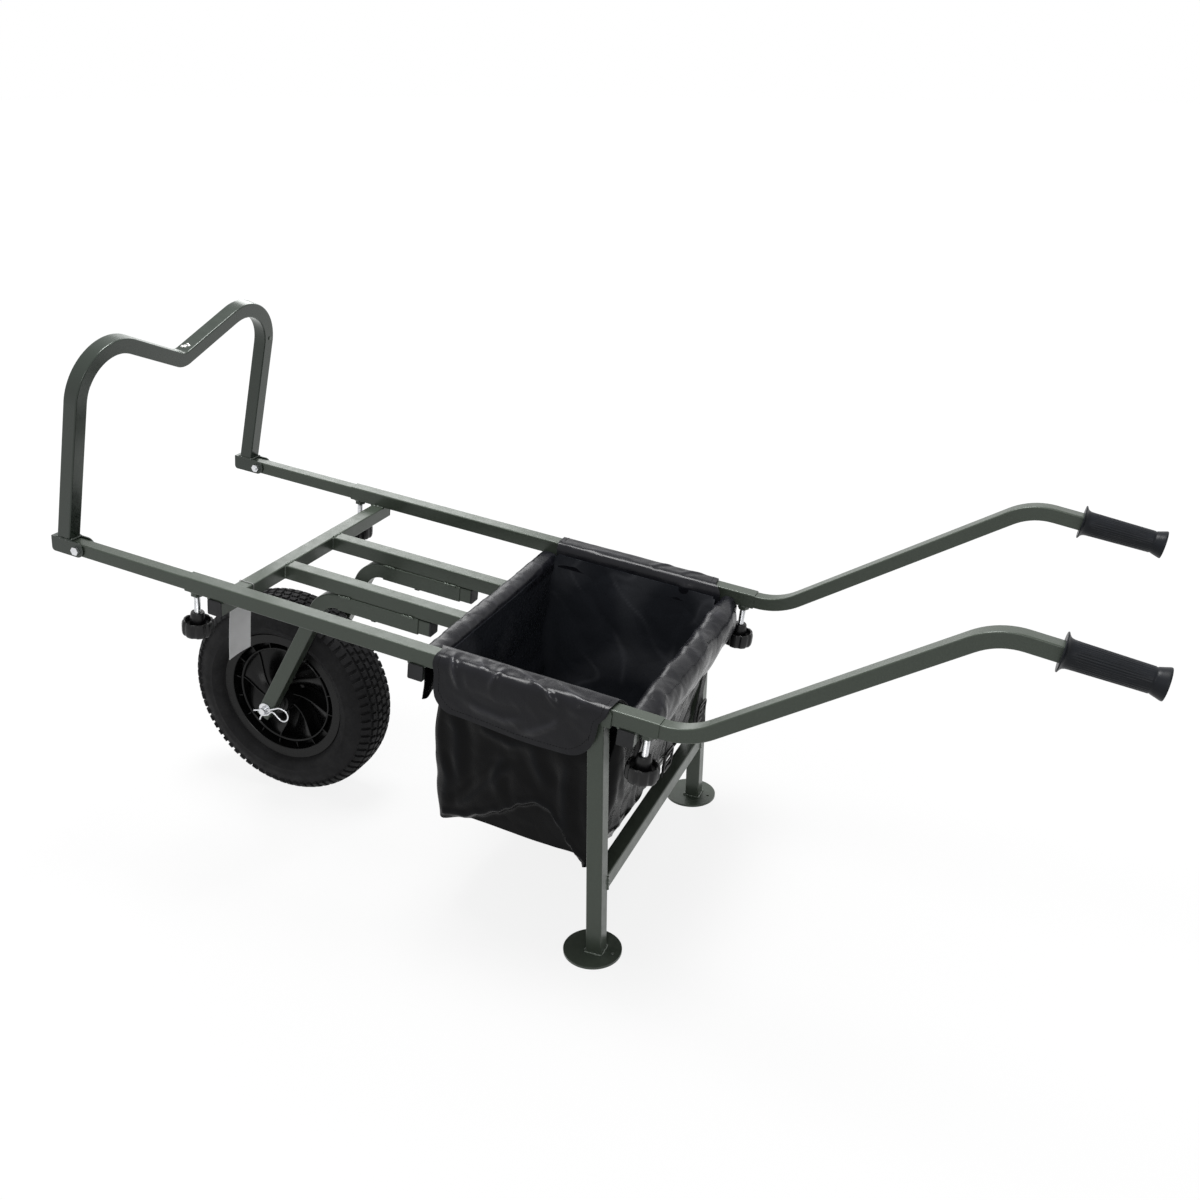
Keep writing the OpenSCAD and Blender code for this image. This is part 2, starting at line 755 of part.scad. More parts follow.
// The bend in the middle of the top, from one run to the other
hoop_middle_z = hoop_up_l + hoop_corner_r * cos(hoop_dip) - hoop_run_l * sin(hoop_dip)
    + hoop_middle_r * cos(hoop_dip);

module hoop_middle() {
    translate([0, 0, hoop_middle_z]) rotate([90, 0, 90]) rotate([0, 0, -90 - hoop_dip])
        rotate_extrude(angle = 2 * hoop_dip, $fn = 96) translate([hoop_middle_r, 0])
            tube_section(tube_s + 2 * swell, tube_r + swell, tube_t + 2 * swell);
}

module hoop_tube() {
    color(GREEN) deck() difference() {
        translate([hoop_pivot_x - pivot_back - tube_s / 2, 0, hoop_base_z]) rotate([0, hoop_lean, 0]) {
            both_sides() hoop_half();
            hoop_middle();
        }
        translate([hoop_pivot_x - 4 * tube_s, -deck_w, hoop_base_z - 2 * tube_s])
            cube([8 * tube_s, 2 * deck_w, 2 * tube_s]);
    }
}

// Leg tube: upright, cut off under the sloping bracket web
module leg(side) {
    color(GREEN) difference() {
        translate([leg_x, side * rail_y, foot_t]) rotate([0, -90, 0]) tube_x(leg_top - foot_t + 10);
        deck() translate([leg_top_x - 60, side * rail_y - 60, leg_web_z]) cube([120, 120, 60]);
    }
}

module leg_near() { leg(-1); }
module leg_far() { leg(1); }

// Brace between the legs
module leg_brace() {
    color(GREEN) translate([leg_x, 0, brace_z]) tube_y(2 * rail_y - tube_s, brace_s);
}

// Round foot plate with a small drain hole
module foot(side) {
    hole_x = leg_x - foot_shift + foot_d / 2 - foot_hole_in;
    color(GREEN) difference() {
        translate([leg_x - foot_shift, side * rail_y, 0]) cylinder(d = foot_d, h = foot_t, $fn = 96);
        translate([hole_x, side * rail_y, -1]) cylinder(d = foot_hole_d, h = foot_t + 2);
    }
}

module foot_near() { foot(-1); }
module foot_far() { foot(1); }

// Handle tube: level in the rail, up, and down again to the grip
low_set_back = handle_low_r * tan(handle_rise / 2);
top_set_back = handle_top_r * tan(crest_turn / 2);
rise_l = handle_h / sin(handle_rise) - low_set_back - top_set_back;
level_l = handle_insert + handle_knee - low_set_back;
grip_tube_l = grip_end - top_set_back - 4;

module handle_tube(side) {
    color(GREEN) deck() translate([rail_l - handle_insert, side * rail_y, mid_z]) {
        run(level_l, slide_s, slide_r, 0, 1);
        translate([level_l, 0, 0]) {
            bend_up(handle_rise, handle_low_r, slide_s, slide_r);
            after_up(handle_rise, handle_low_r) {
                run(rise_l, slide_s, slide_r, 1, 1);
                translate([rise_l, 0, 0]) {
                    bend_down(crest_turn, handle_top_r, slide_s, slide_r);
                    after_down(crest_turn, handle_top_r) run(grip_tube_l, slide_s, slide_r, 1, 0);
                }
            }
        }
    }
}

module handle_tube_near() { handle_tube(-1); }
module handle_tube_far() { handle_tube(1); }

// Moves to the grip's flange, with +X along the grip
module at_grip(side) {
    deck() translate([crest_x, side * rail_y, crest_z]) rotate([0, grip_droop, 0])
        translate([grip_start, 0, 0]) children();
}

// Rubber grip: round flange, body and a wider closed mouth
grip_flange_t = 5;

module grip(side) {
    color(RUBBER) at_grip(side) difference() {
        rotate([0, 90, 0]) {
            cylinder(d = grip_flange_d, h = grip_flange_t);
            cylinder(d1 = grip_d + 4, d2 = grip_d, h = 14);
            cylinder(d = grip_d, h = grip_l);
            translate([0, 0, grip_l - 12]) cylinder(d1 = grip_d, d2 = 2 * grip_mouth_r, h = 12);
        }
        translate([-1, 0, 0]) core_x(grip_l - 4 + 1 + fit, slide_s + 2 * fit, slide_r + fit);
    }
}

module grip_near() { grip(-1); }
module grip_far() { grip(1); }

// Clamp screw: from just under the sliding tube down into the knob
screw_top = mid_z - slide_s / 2 - fit;
boss_h = 14;
boss_d = 24;
screw_in = 12;
screw_low = -knob_drop + knob_h + boss_h - screw_in;

module clamp_screw(x, side) {
    color(ZINC) deck() translate([x, side * rail_y, screw_low])
        cylinder(d = screw_d, h = screw_top - screw_low);
}

module clamp_screw_front_near() { clamp_screw(clamp_xs[0], -1); }
module clamp_screw_front_far() { clamp_screw(clamp_xs[0], 1); }
module clamp_screw_rear_near() { clamp_screw(clamp_xs[1], -1); }
module clamp_screw_rear_far() { clamp_screw(clamp_xs[1], 1); }

// Knob: a lobed cup, hollow on top round its boss
knob_wall = 4;
lobe_cut_d = 10;
cup_depth = 9;

module knob(x, side) {
    color(BLACK) deck() translate([x, side * rail_y, -knob_drop]) difference() {
        union() {
            difference() {
                cylinder(d = knob_d, h = knob_h);
                translate([0, 0, knob_h - cup_depth]) cylinder(d = knob_d - 2 * knob_wall - 6, h = cup_depth + 1);
                for (k = [0:lobe_n - 1]) rotate([0, 0, k * 360 / lobe_n])
                    translate([knob_d / 2 + lobe_cut_d * 0.22, 0, -1]) cylinder(d = lobe_cut_d, h = knob_h + 2);
            }
            translate([0, 0, knob_h - cup_depth - EPS]) cylinder(d = boss_d, h = boss_h + cup_depth);
        }
        translate([0, 0, knob_h + boss_h - screw_in]) cylinder(d = screw_d, h = screw_in + 1);
    }
}

module knob_front_near() { knob(clamp_xs[0], -1); }
module knob_front_far() { knob(clamp_xs[0], 1); }
module knob_rear_near() { knob(clamp_xs[1], -1); }
module knob_rear_far() { knob(clamp_xs[1], 1); }

// Bag: an open box that draws in at the bottom, with a flap over each rail and
// a sleeve over the middle and rear crossmembers
bag_gap = 1.2;
bag_x0 = cross_mid_x + tube_s / 2 + bag_gap;
bag_x1 = cross_rear_x - tube_s / 2 - bag_gap;
bag_half = rail_y - tube_s / 2 - fit - bracket_t - bolt_nut_h - 3 - 2 * fit;
bag_top = -tube_s + fit + bag_t;
cover_t = 1.5;
cover_z = fit;
flap_y = rail_y + tube_s / 2 + fit + bracket_t + fit + bolt_head_h + bag_gap;
flap_corner = 30;
flap_in = 4;

// The solid of the bag's box, drawn in by inset on each side
module bag_block(inset, top) {
    floor_z = -bag_depth + inset;
    y = bag_half - inset;
    hull() {
        translate([bag_x0 + inset, -y, top - 1]) cube([bag_x1 - bag_x0 - 2 * inset, 2 * y, 1]);
        translate([bag_x0 + inset + bag_taper, -y, floor_z])
            cube([bag_x1 - bag_x0 - 2 * inset - 2 * bag_taper, 2 * y, 1]);
    }
}

// Flap over the far rail: a strip on top, a hanging panel outside and a
// strip inside that joins the bag's wall
module flap() {
    x0 = bag_x0 + flap_in;
    x1 = bag_x1 - flap_in;
    l = x1 - x0;
    translate([x0, bag_half - bag_t, cover_z]) cube([l, flap_y + cover_t - bag_half + bag_t, cover_t]);
    translate([0, flap_y + cover_t, 0]) rotate([90, 0, 0]) linear_extrude(cover_t) {
        translate([x0, -flap_drop + flap_corner]) square([l, flap_drop - flap_corner + cover_z + cover_t]);
        translate([x0 + flap_corner, -flap_drop]) square([l - 2 * flap_corner, flap_corner + 1]);
        for (x = [x0 + flap_corner, x1 - flap_corner])
            translate([x, -flap_drop + flap_corner]) circle(r = flap_corner);
    }
    translate([x0, bag_half - bag_t, bag_top - 1]) cube([l, bag_t, cover_z + cover_t - bag_top + 1]);
}

// Sleeve strip on top of a crossmember, with a lip down its far side
module sleeve_strip(x, away) {
    edge = x + away * (tube_s / 2 + bag_gap);
    inner = away < 0 ? bag_x0 : bag_x1;
    z0 = -tube_s + fit;
    low = min(edge, inner + away * -bag_t);
    high = max(edge, inner + away * -bag_t);
    lip_x = away < 0 ? edge - cover_t : edge;
    translate([low - (away < 0 ? cover_t : 0), -bag_half, z0]) cube([high - low + cover_t, 2 * bag_half, bag_t]);
    for (y = lip_spans(away)) translate([lip_x, y[0], -lip_drop]) cube([cover_t, y[1] - y[0], lip_drop + z0 + 1]);
}

// The front lip is slit where the deck bars and fork sleeves pass
function lip_spans(away) = away > 0 ? [[-bag_half, bag_half]] : [
    [-bag_half, -bar_y - tube_s / 2 - 3],
    [-bar_y + tube_s / 2 + 3, bar_y - tube_s / 2 - 3],
    [bar_y + tube_s / 2 + 3, bag_half]
];

module bag() {
    color(CLOTH) deck() {
        difference() {
            bag_block(0, bag_top);
            bag_block(bag_t, bag_top + 2);
        }
        both_sides() flap();
        sleeve_strip(cross_mid_x, -1);
        sleeve_strip(cross_rear_x, 1);
    }
}

// Webbing straps that hang from the rear sleeve
strap_w = 25;
strap_t = 2;
strap_l = 130;
strap_ys = [-95, 70];
strap_x = cross_rear_x + tube_s / 2 + bag_gap + cover_t;

module bag_straps() {
    color(BLACK) deck() for (y = strap_ys) translate([strap_x, y - strap_w / 2, -lip_drop + 12 - strap_l])
        cube([strap_t, strap_w, strap_l]);
}

// Ladder buckles on the straps' lower ends
buckle_l = 34;
buckle_w = 33;
buckle_t = 7;

module bag_buckles() {
    color(BLACK) deck() for (y = strap_ys) translate([strap_x + strap_t, y - buckle_w / 2, -lip_drop + 12 - strap_l + 4])
        cube([buckle_t - strap_t, buckle_w, buckle_l]);
}

// Blank card tag, looped round the front crossmember
tag_t = 0.8;
tag_in = 75;
tag_y = -rail_y + tag_in;

module hang_tag() {
    x0 = cross_front_x - tube_s / 2 - fit - tag_t;
    loop_w = tube_s + 2 * fit + 2 * tag_t;
    color(CARD) deck() translate([x0, tag_y - tag_w / 2, 0]) {
        translate([0, 0, -2 * tube_s - tag_l]) cube([tag_t, tag_w, tag_l + tube_s + 2 * fit + tag_t - fit]);
        translate([0, 0, -tube_s + fit]) cube([loop_w, tag_w, tag_t]);
        translate([loop_w - tag_t, 0, -2 * tube_s - fit - tag_t]) cube([tag_t, tag_w, tube_s + 2 * fit + tag_t]);
        translate([0, 0, -2 * tube_s - fit - tag_t]) cube([loop_w, tag_w, tag_t]);
    }
}

rail_near();
rail_far();
crossmember_front();
crossmember_middle();
crossmember_rear();
deck_bar_near();
deck_bar_far();
tube_end_caps();
clamp_nuts();
fork_sleeve_near();
fork_sleeve_far();
fork_arm_near();
fork_arm_far();
fork_end_caps();
fork_set_screws();
axle();
axle_washers();
axle_clips();
tyre();
inner_tube();
rim();
hub_bushes();
front_tube_near();
front_tube_far();
hoop_bolts();
hoop_nuts();
hoop_tube();
hoop_bracket_near();
hoop_bracket_far();
leg_near();
leg_far();
leg_bracket_near();
leg_bracket_far();
leg_brace();
foot_near();
foot_far();
leg_bolts();
leg_nuts();
handle_tube_near();
handle_tube_far();
grip_near();
grip_far();
clamp_screw_front_near();
clamp_screw_front_far();
clamp_screw_rear_near();
clamp_screw_rear_far();
knob_front_near();
knob_front_far();
knob_rear_near();
knob_rear_far();
bag();
bag_straps();
bag_buckles();
hang_tag();
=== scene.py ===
"""Fishing trolley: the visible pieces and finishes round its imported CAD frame."""

import json
import math

import bmesh
import bpy
from mathutils import Matrix, Vector, noise


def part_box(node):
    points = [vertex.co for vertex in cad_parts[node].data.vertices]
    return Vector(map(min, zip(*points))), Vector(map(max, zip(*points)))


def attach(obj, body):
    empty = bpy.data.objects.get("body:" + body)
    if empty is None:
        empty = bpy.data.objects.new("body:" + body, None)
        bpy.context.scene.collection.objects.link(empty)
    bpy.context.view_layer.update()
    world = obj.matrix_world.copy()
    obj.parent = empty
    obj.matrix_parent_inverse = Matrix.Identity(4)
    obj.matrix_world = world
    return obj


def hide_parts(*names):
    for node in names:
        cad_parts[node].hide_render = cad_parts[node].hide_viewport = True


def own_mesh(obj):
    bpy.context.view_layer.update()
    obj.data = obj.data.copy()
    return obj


bl_info = {
    "name": "Fishing Trolley",
    "version": (1, 0, 0),
    "blender": (4, 5, 0),
    "location": "3D View > Sidebar > Trolley",
    "description": "Builds a single-wheel fishing trolley piece by piece round its packed frame",
    "category": "Object",
}

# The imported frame, and the deck's own frame: x along the rails from their
# front end, y to the far side, z = 0 on top of the rails
TUBE = 0.025
RAIL_Y = 0.2375
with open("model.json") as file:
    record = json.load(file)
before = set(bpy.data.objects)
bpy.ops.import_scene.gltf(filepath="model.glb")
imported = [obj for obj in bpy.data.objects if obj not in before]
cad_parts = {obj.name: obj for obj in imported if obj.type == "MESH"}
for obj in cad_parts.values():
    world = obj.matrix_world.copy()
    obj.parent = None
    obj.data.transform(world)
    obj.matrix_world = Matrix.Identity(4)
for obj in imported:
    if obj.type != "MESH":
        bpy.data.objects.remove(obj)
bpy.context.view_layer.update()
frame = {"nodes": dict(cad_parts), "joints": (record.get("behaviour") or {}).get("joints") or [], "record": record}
cad_nodes = frame["nodes"]
slide_axis = Vector([j for j in frame["joints"] if j["name"] == "front_slide"][0]["axis"])
TILT = math.atan2(-slide_axis.z, slide_axis.x)
rail_low, rail_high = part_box("rail_far")
DECK = (Matrix.Translation((rail_low.x + TUBE * math.sin(TILT), 0, rail_high.z))
        @ Matrix.Rotation(TILT, 4, "Y"))
axle_low, axle_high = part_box("axle")
AXLE = DECK.inverted() @ ((axle_low + axle_high) / 2)
WHEEL = DECK @ Matrix.Translation((AXLE.x, 0, AXLE.z)) @ Matrix.Rotation(math.radians(-90), 4, "X")
AS_IT_IS = Matrix.Identity(4)

# Places on the deck in metres: the crossmembers, the clamps, the weld beads of the
# fork's sleeves, the deck bars and the hoop, and the lean of the hoop's uprights
CROSS_X = (0.058, 0.414, 0.745)
CLAMP_X = (0.014, 0.772)
SLEEVE_X = (0.186, 0.304)
BAR_Y = 0.071
HOOP_X = -0.238
HOOP_LEAN = math.radians(8.4)
HOOP_PARTS = ("hoop_tube", "hoop_bracket_near", "hoop_bracket_far")

# Lists of points are in millimetres, and all other sizes in metres

# Profiles to turn, as (radius, height)
TYRE_HALF = [
    (186.1, 1.5), (186.1, 12.5), (186.0, 15.5), (185.3, 20.0), (184.0, 26.5), (183.0, 29.5), (179.5, 35.5),
    (176.6, 38.5), (171.2, 42.2), (161.5, 46.2), (155.0, 48.4), (150.0, 48.9), (144.0, 49.0), (142.0, 49.6),
    (140.0, 49.0), (136.0, 47.8), (131.0, 44.8), (127.0, 40.5), (125.2, 35.5), (123.6, 32.5), (119.5, 29.0)]
RIM_SIDE = [
    (106.5, 0), (106.5, 23.0), (118.0, 30.0), (121.5, 33.0), (122.8, 33.8), (122.4, 34.6), (110.0, 34.2),
    (106.8, 34.0), (105.8, 33.0), (104.5, 15.0), (103.5, 13.0), (95.5, 13.0), (94.5, 15.0), (93.8, 25.8),
    (92.8, 26.8), (91.0, 26.6), (90.0, 25.5), (88.5, 6.0), (87.0, 4.0), (31.0, 4.0), (27.5, 7.0),
    (25.5, 45.0), (24.0, 49.5), (20.5, 49.8), (14.5, 49.8)]
GRIP = [
    (11.8, 0.8), (20.0, 0.4), (24.4, 0.3), (24.9, 1.0), (24.7, 1.9), (23.2, 2.7), (20.8, 4.2), (19.1, 6.2),
    (18.2, 9.0), (17.9, 13.0), (17.7, 19.0), (17.4, 40.0), (16.9, 70.0), (16.5, 99.0), (16.5, 100.5),
    (16.0, 101.6), (16.0, 102.6), (16.7, 103.8), (17.6, 107.0), (19.0, 111.5), (20.1, 115.0), (20.4, 116.6),
    (20.1, 117.6), (18.8, 117.9), (0, 117.9)]
KNOB = [
    (0, 1.6), (16.0, 1.6), (18.2, 0.6), (20.5, 0.1), (22.8, 0.9), (24.3, 3.2), (24.9, 6.5), (25.0, 11.0),
    (24.9, 18.0), (24.3, 22.2), (23.1, 24.4), (21.5, 24.9), (20.0, 24.2), (19.4, 22.5), (19.0, 16.0),
    (13.5, 16.0), (12.6, 17.0), (12.2, 22.0), (11.6, 30.0), (10.8, 37.2), (9.8, 38.8), (8.0, 39.0),
    (5.3, 39.0), (5.3, 27.2), (0, 27.2)]

# The spring clip's wire, from the axle: through it, round the loop and back
CLIP = [
    (-23, 0), (-8, 0.2), (0, 0), (14, 0.4), (25, 2), (33, 3.2), (41, 0.5), (47.4, -5), (48.5, -12),
    (45, -19), (38, -22.4), (31, -20.5), (26.5, -15), (21.5, -6.8), (17, -3.6), (12, -5.2), (8, -7.4),
    (0, -9.2), (-6, -9.2), (-10, -12), (-14, -17)]

# The cloth's sections on the deck, as (across or along, height)
FLAP = [
    (211.3, -38), (211.8, -26), (213, -11.5), (215.2, -3), (219.2, 2.2), (225.5, 4), (238, 3.6),
    (249.6, 3.4), (256.4, -1), (259.2, -10), (259.8, -25), (260, -60), (259, -92.5)]
FRONT_SLEEVE = [
    (431.8, -44), (430.8, -30), (426.5, -22), (414, -20), (403.5, -20.8), (399.2, -25.5), (397.8, -50),
    (398.4, -72)]
SLEEVE_END = [(428.4, -26.4), (429.4, -40), (429.8, -55), (428.6, -68), (426.8, -80)]
REAR_SLEEVE = [
    (727.2, -46), (728, -31), (732.5, -19), (742, -12.5), (754.5, -12.5), (766.5, -18), (773.5, -29),
    (774.8, -47), (770, -66), (763.5, -80)]

# Creases read from the photograph: a line on the cloth, its width and its height.
# On a flap the line is (along, height), which goes on inwards over the rail.
FLAP_CREASES = {
    "near": [
        ([(468, 36), (472, 12), (481, -12), (492, -42)], 4.4, 3.6),
        ([(552, 34), (547, 14), (541, -4), (539, -26)], 4.4, 3.0),
        ([(560, 40), (586, 24), (612, 11), (632, -4), (650, -22)], 4.6, 4.2),
        ([(628, 38), (650, 20), (676, 10), (700, 6)], 4.8, 2.8),
        ([(492, -48), (525, -58), (566, -62), (612, -46)], 8.0, 2.6),
        ([(655, -20), (640, -45), (610, -66), (580, -72)], 8.0, 2.4),
        ([(505, 34), (520, 16), (516, -6)], 5.2, 2.2)],
    "far": [
        ([(600, 45), (615, 20), (640, 4)], 4, 3),
        ([(655, 40), (668, 18), (700, 6)], 4, 3),
        ([(470, 40), (520, 30), (580, 32)], 5, 1.4)],
}
WALL_CREASES = [
    ([(466, -285), (490, -262), (515, -228), (545, -188), (590, -150)], 8.5, 5.8),
    ([(452, -95), (470, -150), (475, -215), (470, -262)], 11, 5.6),
    ([(556, -140), (540, -185), (545, -240)], 9, 5.0),
    ([(590, -100), (602, -150), (628, -196)], 11, 4.4),
    ([(655, -95), (650, -170), (658, -240), (678, -290)], 10, 6.0),
    ([(500, -100), (520, -122), (560, -130), (610, -112)], 8, 3.6),
    ([(440, -180), (458, -225), (455, -290)], 8, 4.0),
]

# Lines through (along, height): the arch that the near wall's foot folds under, and
# how far its foot lies higher than straight
ARCH = [
    (440, -303), (488, -293), (515, -278), (545, -261), (564, -247), (582, -231), (609, -219), (629, -223),
    (650, -245), (669, -275), (682, -291), (705, -305)]
NEAR_HEM = [(445, -8), (490, 4), (580, 3), (672, 6), (688, -6), (705, 4)]

# The walls by height, as (height, size): where the front and rear ones stand, half
# the width between the side ones, and the radius of the corners
WALL_FRONT = [(-311, 445), (-237, 434), (-196, 427.2), (-154, 424.5), (-84, 430), (-14, 430)]
WALL_REAR = [(-311, 700), (-250, 718), (-160, 729), (-84, 730), (-14, 729.5)]
WALL_HALF = [(-311, 208.5), (-240, 212.5), (-150, 212.8), (-14, 211.8)]
WALL_CORNER = [(-311, 10), (-200, 20), (-80, 14), (-14, 6)]

# The flaps' front and rear edges, as (share of the way round the section, along)
FLAP_EDGES = {
    "near": ([(0, 433.5), (0.20, 438), (0.36, 447), (0.50, 445), (0.62, 449), (1, 450)],
             [(0, 735), (0.16, 732), (0.28, 721), (0.36, 719.5), (0.50, 716.5), (0.60, 706), (1, 699)]),
    "far": ([(0, 433), (0.36, 429), (0.50, 429), (1, 440)],
            [(0, 736), (0.16, 734), (0.30, 720), (0.50, 717), (1, 702)]),
}

# How far each side's top edge hangs below the near and far ones, the flaps' corner
# radius, the stitches' distance from the hem and the cloth's thickness
LOW_TOP = {"near": 0.0, "far": 0.0, "corner": 0.004, "front": 0.016, "rear": 0.019}
FLAP_CORNER = 0.034
HEM_INSET = 0.0085
CLOTH = 0.0013

# Heights of the walls' top edge and foot, and of the floor
WALL_TOP = -0.0145
WALL_FOOT = -0.3030
FLOOR_Z = -0.3005


class TyreSettings(bpy.types.PropertyGroup):
    pitches: bpy.props.IntProperty(
        name="Tread Pitches", description="Tread blocks in one turn of the tyre", default=72, min=40, max=90)
    block_height: bpy.props.FloatProperty(
        name="Block Height", description="Height of the tread blocks above the grooves",
        default=0.0036, min=0.001, max=0.0055, subtype="DISTANCE", unit="LENGTH")
    rubber: bpy.props.FloatVectorProperty(
        name="Rubber", description="Colour of the tyre", default=(0.0115, 0.0115, 0.0122),
        size=3, min=0, max=1, subtype="COLOR")


class RimSettings(bpy.types.PropertyGroup):
    fins: bpy.props.IntProperty(
        name="Fins", description="Thin fins across the channel of each side", default=16, min=8, max=24)
    vanes: bpy.props.IntProperty(
        name="Vanes", description="Curved vanes from the hub to the ring", default=8, min=5, max=12)
    plastic: bpy.props.FloatVectorProperty(
        name="Plastic", description="Colour of the rim", default=(0.0034, 0.0034, 0.0036),
        size=3, min=0, max=1, subtype="COLOR")


class FrameSettings(bpy.types.PropertyGroup):
    paint: bpy.props.FloatVectorProperty(
        name="Frame Paint", description="Powder coat of the deck, legs and handles",
        default=(0.045, 0.055, 0.043), size=3, min=0, max=1, subtype="COLOR")
    hoop_paint: bpy.props.FloatVectorProperty(
        name="Hoop Paint", description="Glossier paint of the hoop",
        default=(0.017, 0.0235, 0.018), size=3, min=0, max=1, subtype="COLOR")
    bead_width: bpy.props.FloatProperty(
        name="Weld Width", description="Width of the weld beads", default=0.0044,
        min=0.002, max=0.008, subtype="DISTANCE", unit="LENGTH")


class GripSettings(bpy.types.PropertyGroup):
    flutes: bpy.props.IntProperty(
        name="Flutes", description="Fine flutes round each grip", default=30, min=12, max=48)
    flute_depth: bpy.props.FloatProperty(
        name="Flute Depth", description="Depth of the flutes", default=0.0006,
        min=0, max=0.002, subtype="DISTANCE", unit="LENGTH")
    rubber: bpy.props.FloatVectorProperty(
        name="Rubber", description="Colour of the grips", default=(0.0062, 0.0076, 0.0104),
        size=3, min=0, max=1, subtype="COLOR")


class KnobSettings(bpy.types.PropertyGroup):
    lobes: bpy.props.IntProperty(
        name="Lobes", description="Lobes round each knob", default=8, min=5, max=12)
    scallop: bpy.props.FloatProperty(
        name="Scallop", description="Depth of the hollows between the lobes", default=0.0022,
        min=0, max=0.004, subtype="DISTANCE", unit="LENGTH")
    thread_pitch: bpy.props.FloatProperty(
        name="Thread Pitch", description="Pitch of the clamp screws", default=0.0015,
        min=0.001, max=0.003, subtype="DISTANCE", unit="LENGTH")


class BagSettings(bpy.types.PropertyGroup):
    cell: bpy.props.FloatProperty(
        name="Cell", description="Spacing of the cloth's points", default=0.0042,
        min=0.003, max=0.02, subtype="DISTANCE", unit="LENGTH")
    fold: bpy.props.FloatProperty(
        name="Fold", description="Height of the cloth's soft folds", default=0.0036,
        min=0, max=0.008, subtype="DISTANCE", unit="LENGTH")
    cloth: bpy.props.FloatVectorProperty(
        name="Cloth", description="Colour of the bag's walls", default=(0.0016, 0.0016, 0.0020),
        size=3, min=0, max=1, subtype="COLOR")
    # Painted sheen: the flaps and sleeves are the walls' black cloth made paler
    flap_cloth: bpy.props.FloatVectorProperty(
        name="Flap Cloth", description="Colour of the flaps and sleeves", default=(0.0078, 0.0080, 0.0105),
        size=3, min=0, max=1, subtype="COLOR")


class SmallPartSettings(bpy.types.PropertyGroup):
    wire: bpy.props.FloatProperty(
        name="Clip Wire", description="Thickness of the spring clips' wire", default=0.003,
        min=0.002, max=0.004, subtype="DISTANCE", unit="LENGTH")
    card: bpy.props.FloatVectorProperty(
        name="Card", description="Colour of the blank tag", default=(0.93, 0.93, 0.94),
        size=3, min=0, max=1, subtype="COLOR")


class StageSettings(bpy.types.PropertyGroup):
    ambient: bpy.props.FloatProperty(
        name="Ambient", description="Strength of the light from all round", default=0.36, min=0, max=2)
    key: bpy.props.FloatProperty(
        name="Key Light", description="Power of the overhead softbox", default=84, min=0, unit="POWER")


SETTINGS = (
    ("tyre", TyreSettings), ("rim", RimSettings), ("frame", FrameSettings), ("grips", GripSettings),
    ("knobs", KnobSettings), ("bag", BagSettings), ("small", SmallPartSettings), ("stage", StageSettings),
)


def settings(context, name):
    """The property group of one kind of piece"""
    return getattr(context.scene, "trolley_" + name)


# Lines and numbers

def metres(points):
    """The same points, from millimetres"""
    return [(a / 1000, b / 1000) for a, b in points]


def ease(t):
    """A soft step from 0 to 1"""
    t = max(0.0, min(1.0, t))
    return t * t * (3 - 2 * t)


def table(x, pairs):
    """Value at x on a line through (x, value) pairs, eased between them"""
    if x <= pairs[0][0]:
        return pairs[0][1]
    for (x0, v0), (x1, v1) in zip(pairs, pairs[1:]):
        if x <= x1:
            return v0 + (v1 - v0) * ease((x - x0) / (x1 - x0))
    return pairs[-1][1]


def table_mm(x, pairs):
    """The same, for x in metres and pairs in millimetres"""
    return table(x * 1000, pairs) / 1000


def rounded(points, radius, steps):
    """A polyline with its inner corners rounded"""
    spots = [Vector(p) for p in points]
    out = [spots[0]]
    for a, b, c in zip(spots, spots[1:], spots[2:]):
        r = min(radius, (a - b).length * 0.49, (c - b).length * 0.49)
        start = b + (a - b).normalized() * r
        end = b + (c - b).normalized() * r
        for k in range(steps + 1):
            t = k / steps
            out.append((1 - t) ** 2 * start + 2 * t * (1 - t) * b + t * t * end)
    out.append(spots[-1])
    return out


def along_line(points, count):
    """Evenly spaced (a, b, run) on a rounded line through (a, b) millimetres"""
    line = rounded([(a, 0, b) for a, b in metres(points)], 0.006, 3)
    lengths = [0.0]
    for a, b in zip(line, line[1:]):
        lengths.append(lengths[-1] + (b - a).length)
    out = []
    j = 0
    for k in range(count):
        want = lengths[-1] * k / (count - 1)
        while j < len(line) - 2 and lengths[j + 1] < want:
            j += 1
        spot = line[j].lerp(line[j + 1], (want - lengths[j]) / max(1e-9, lengths[j + 1] - lengths[j]))
        out.append((spot.x, spot.z, want))
    return out


def section_at(sections, run):
    """The point of a section at a run along it"""
    for p, q in zip(sections, sections[1:]):
        if run <= q[2]:
            t = (run - p[2]) / max(1e-9, q[2] - p[2])
            return p[0] + (q[0] - p[0]) * t, p[1] + (q[1] - p[1]) * t, run
    return sections[-1]


def ripple(*spot):
    """Smooth noise, from about -1 to 1"""
    return noise.noise(Vector(spot))


def ridged(*spot):
    """Sharp-crested noise, from 0 to 1"""
    return 1 - min(1.0, abs(ripple(*spot)) * 2.6)


def bell(x, width):
    """A soft bump of height 1 round 0"""
    return math.exp(-(x / width) ** 2)


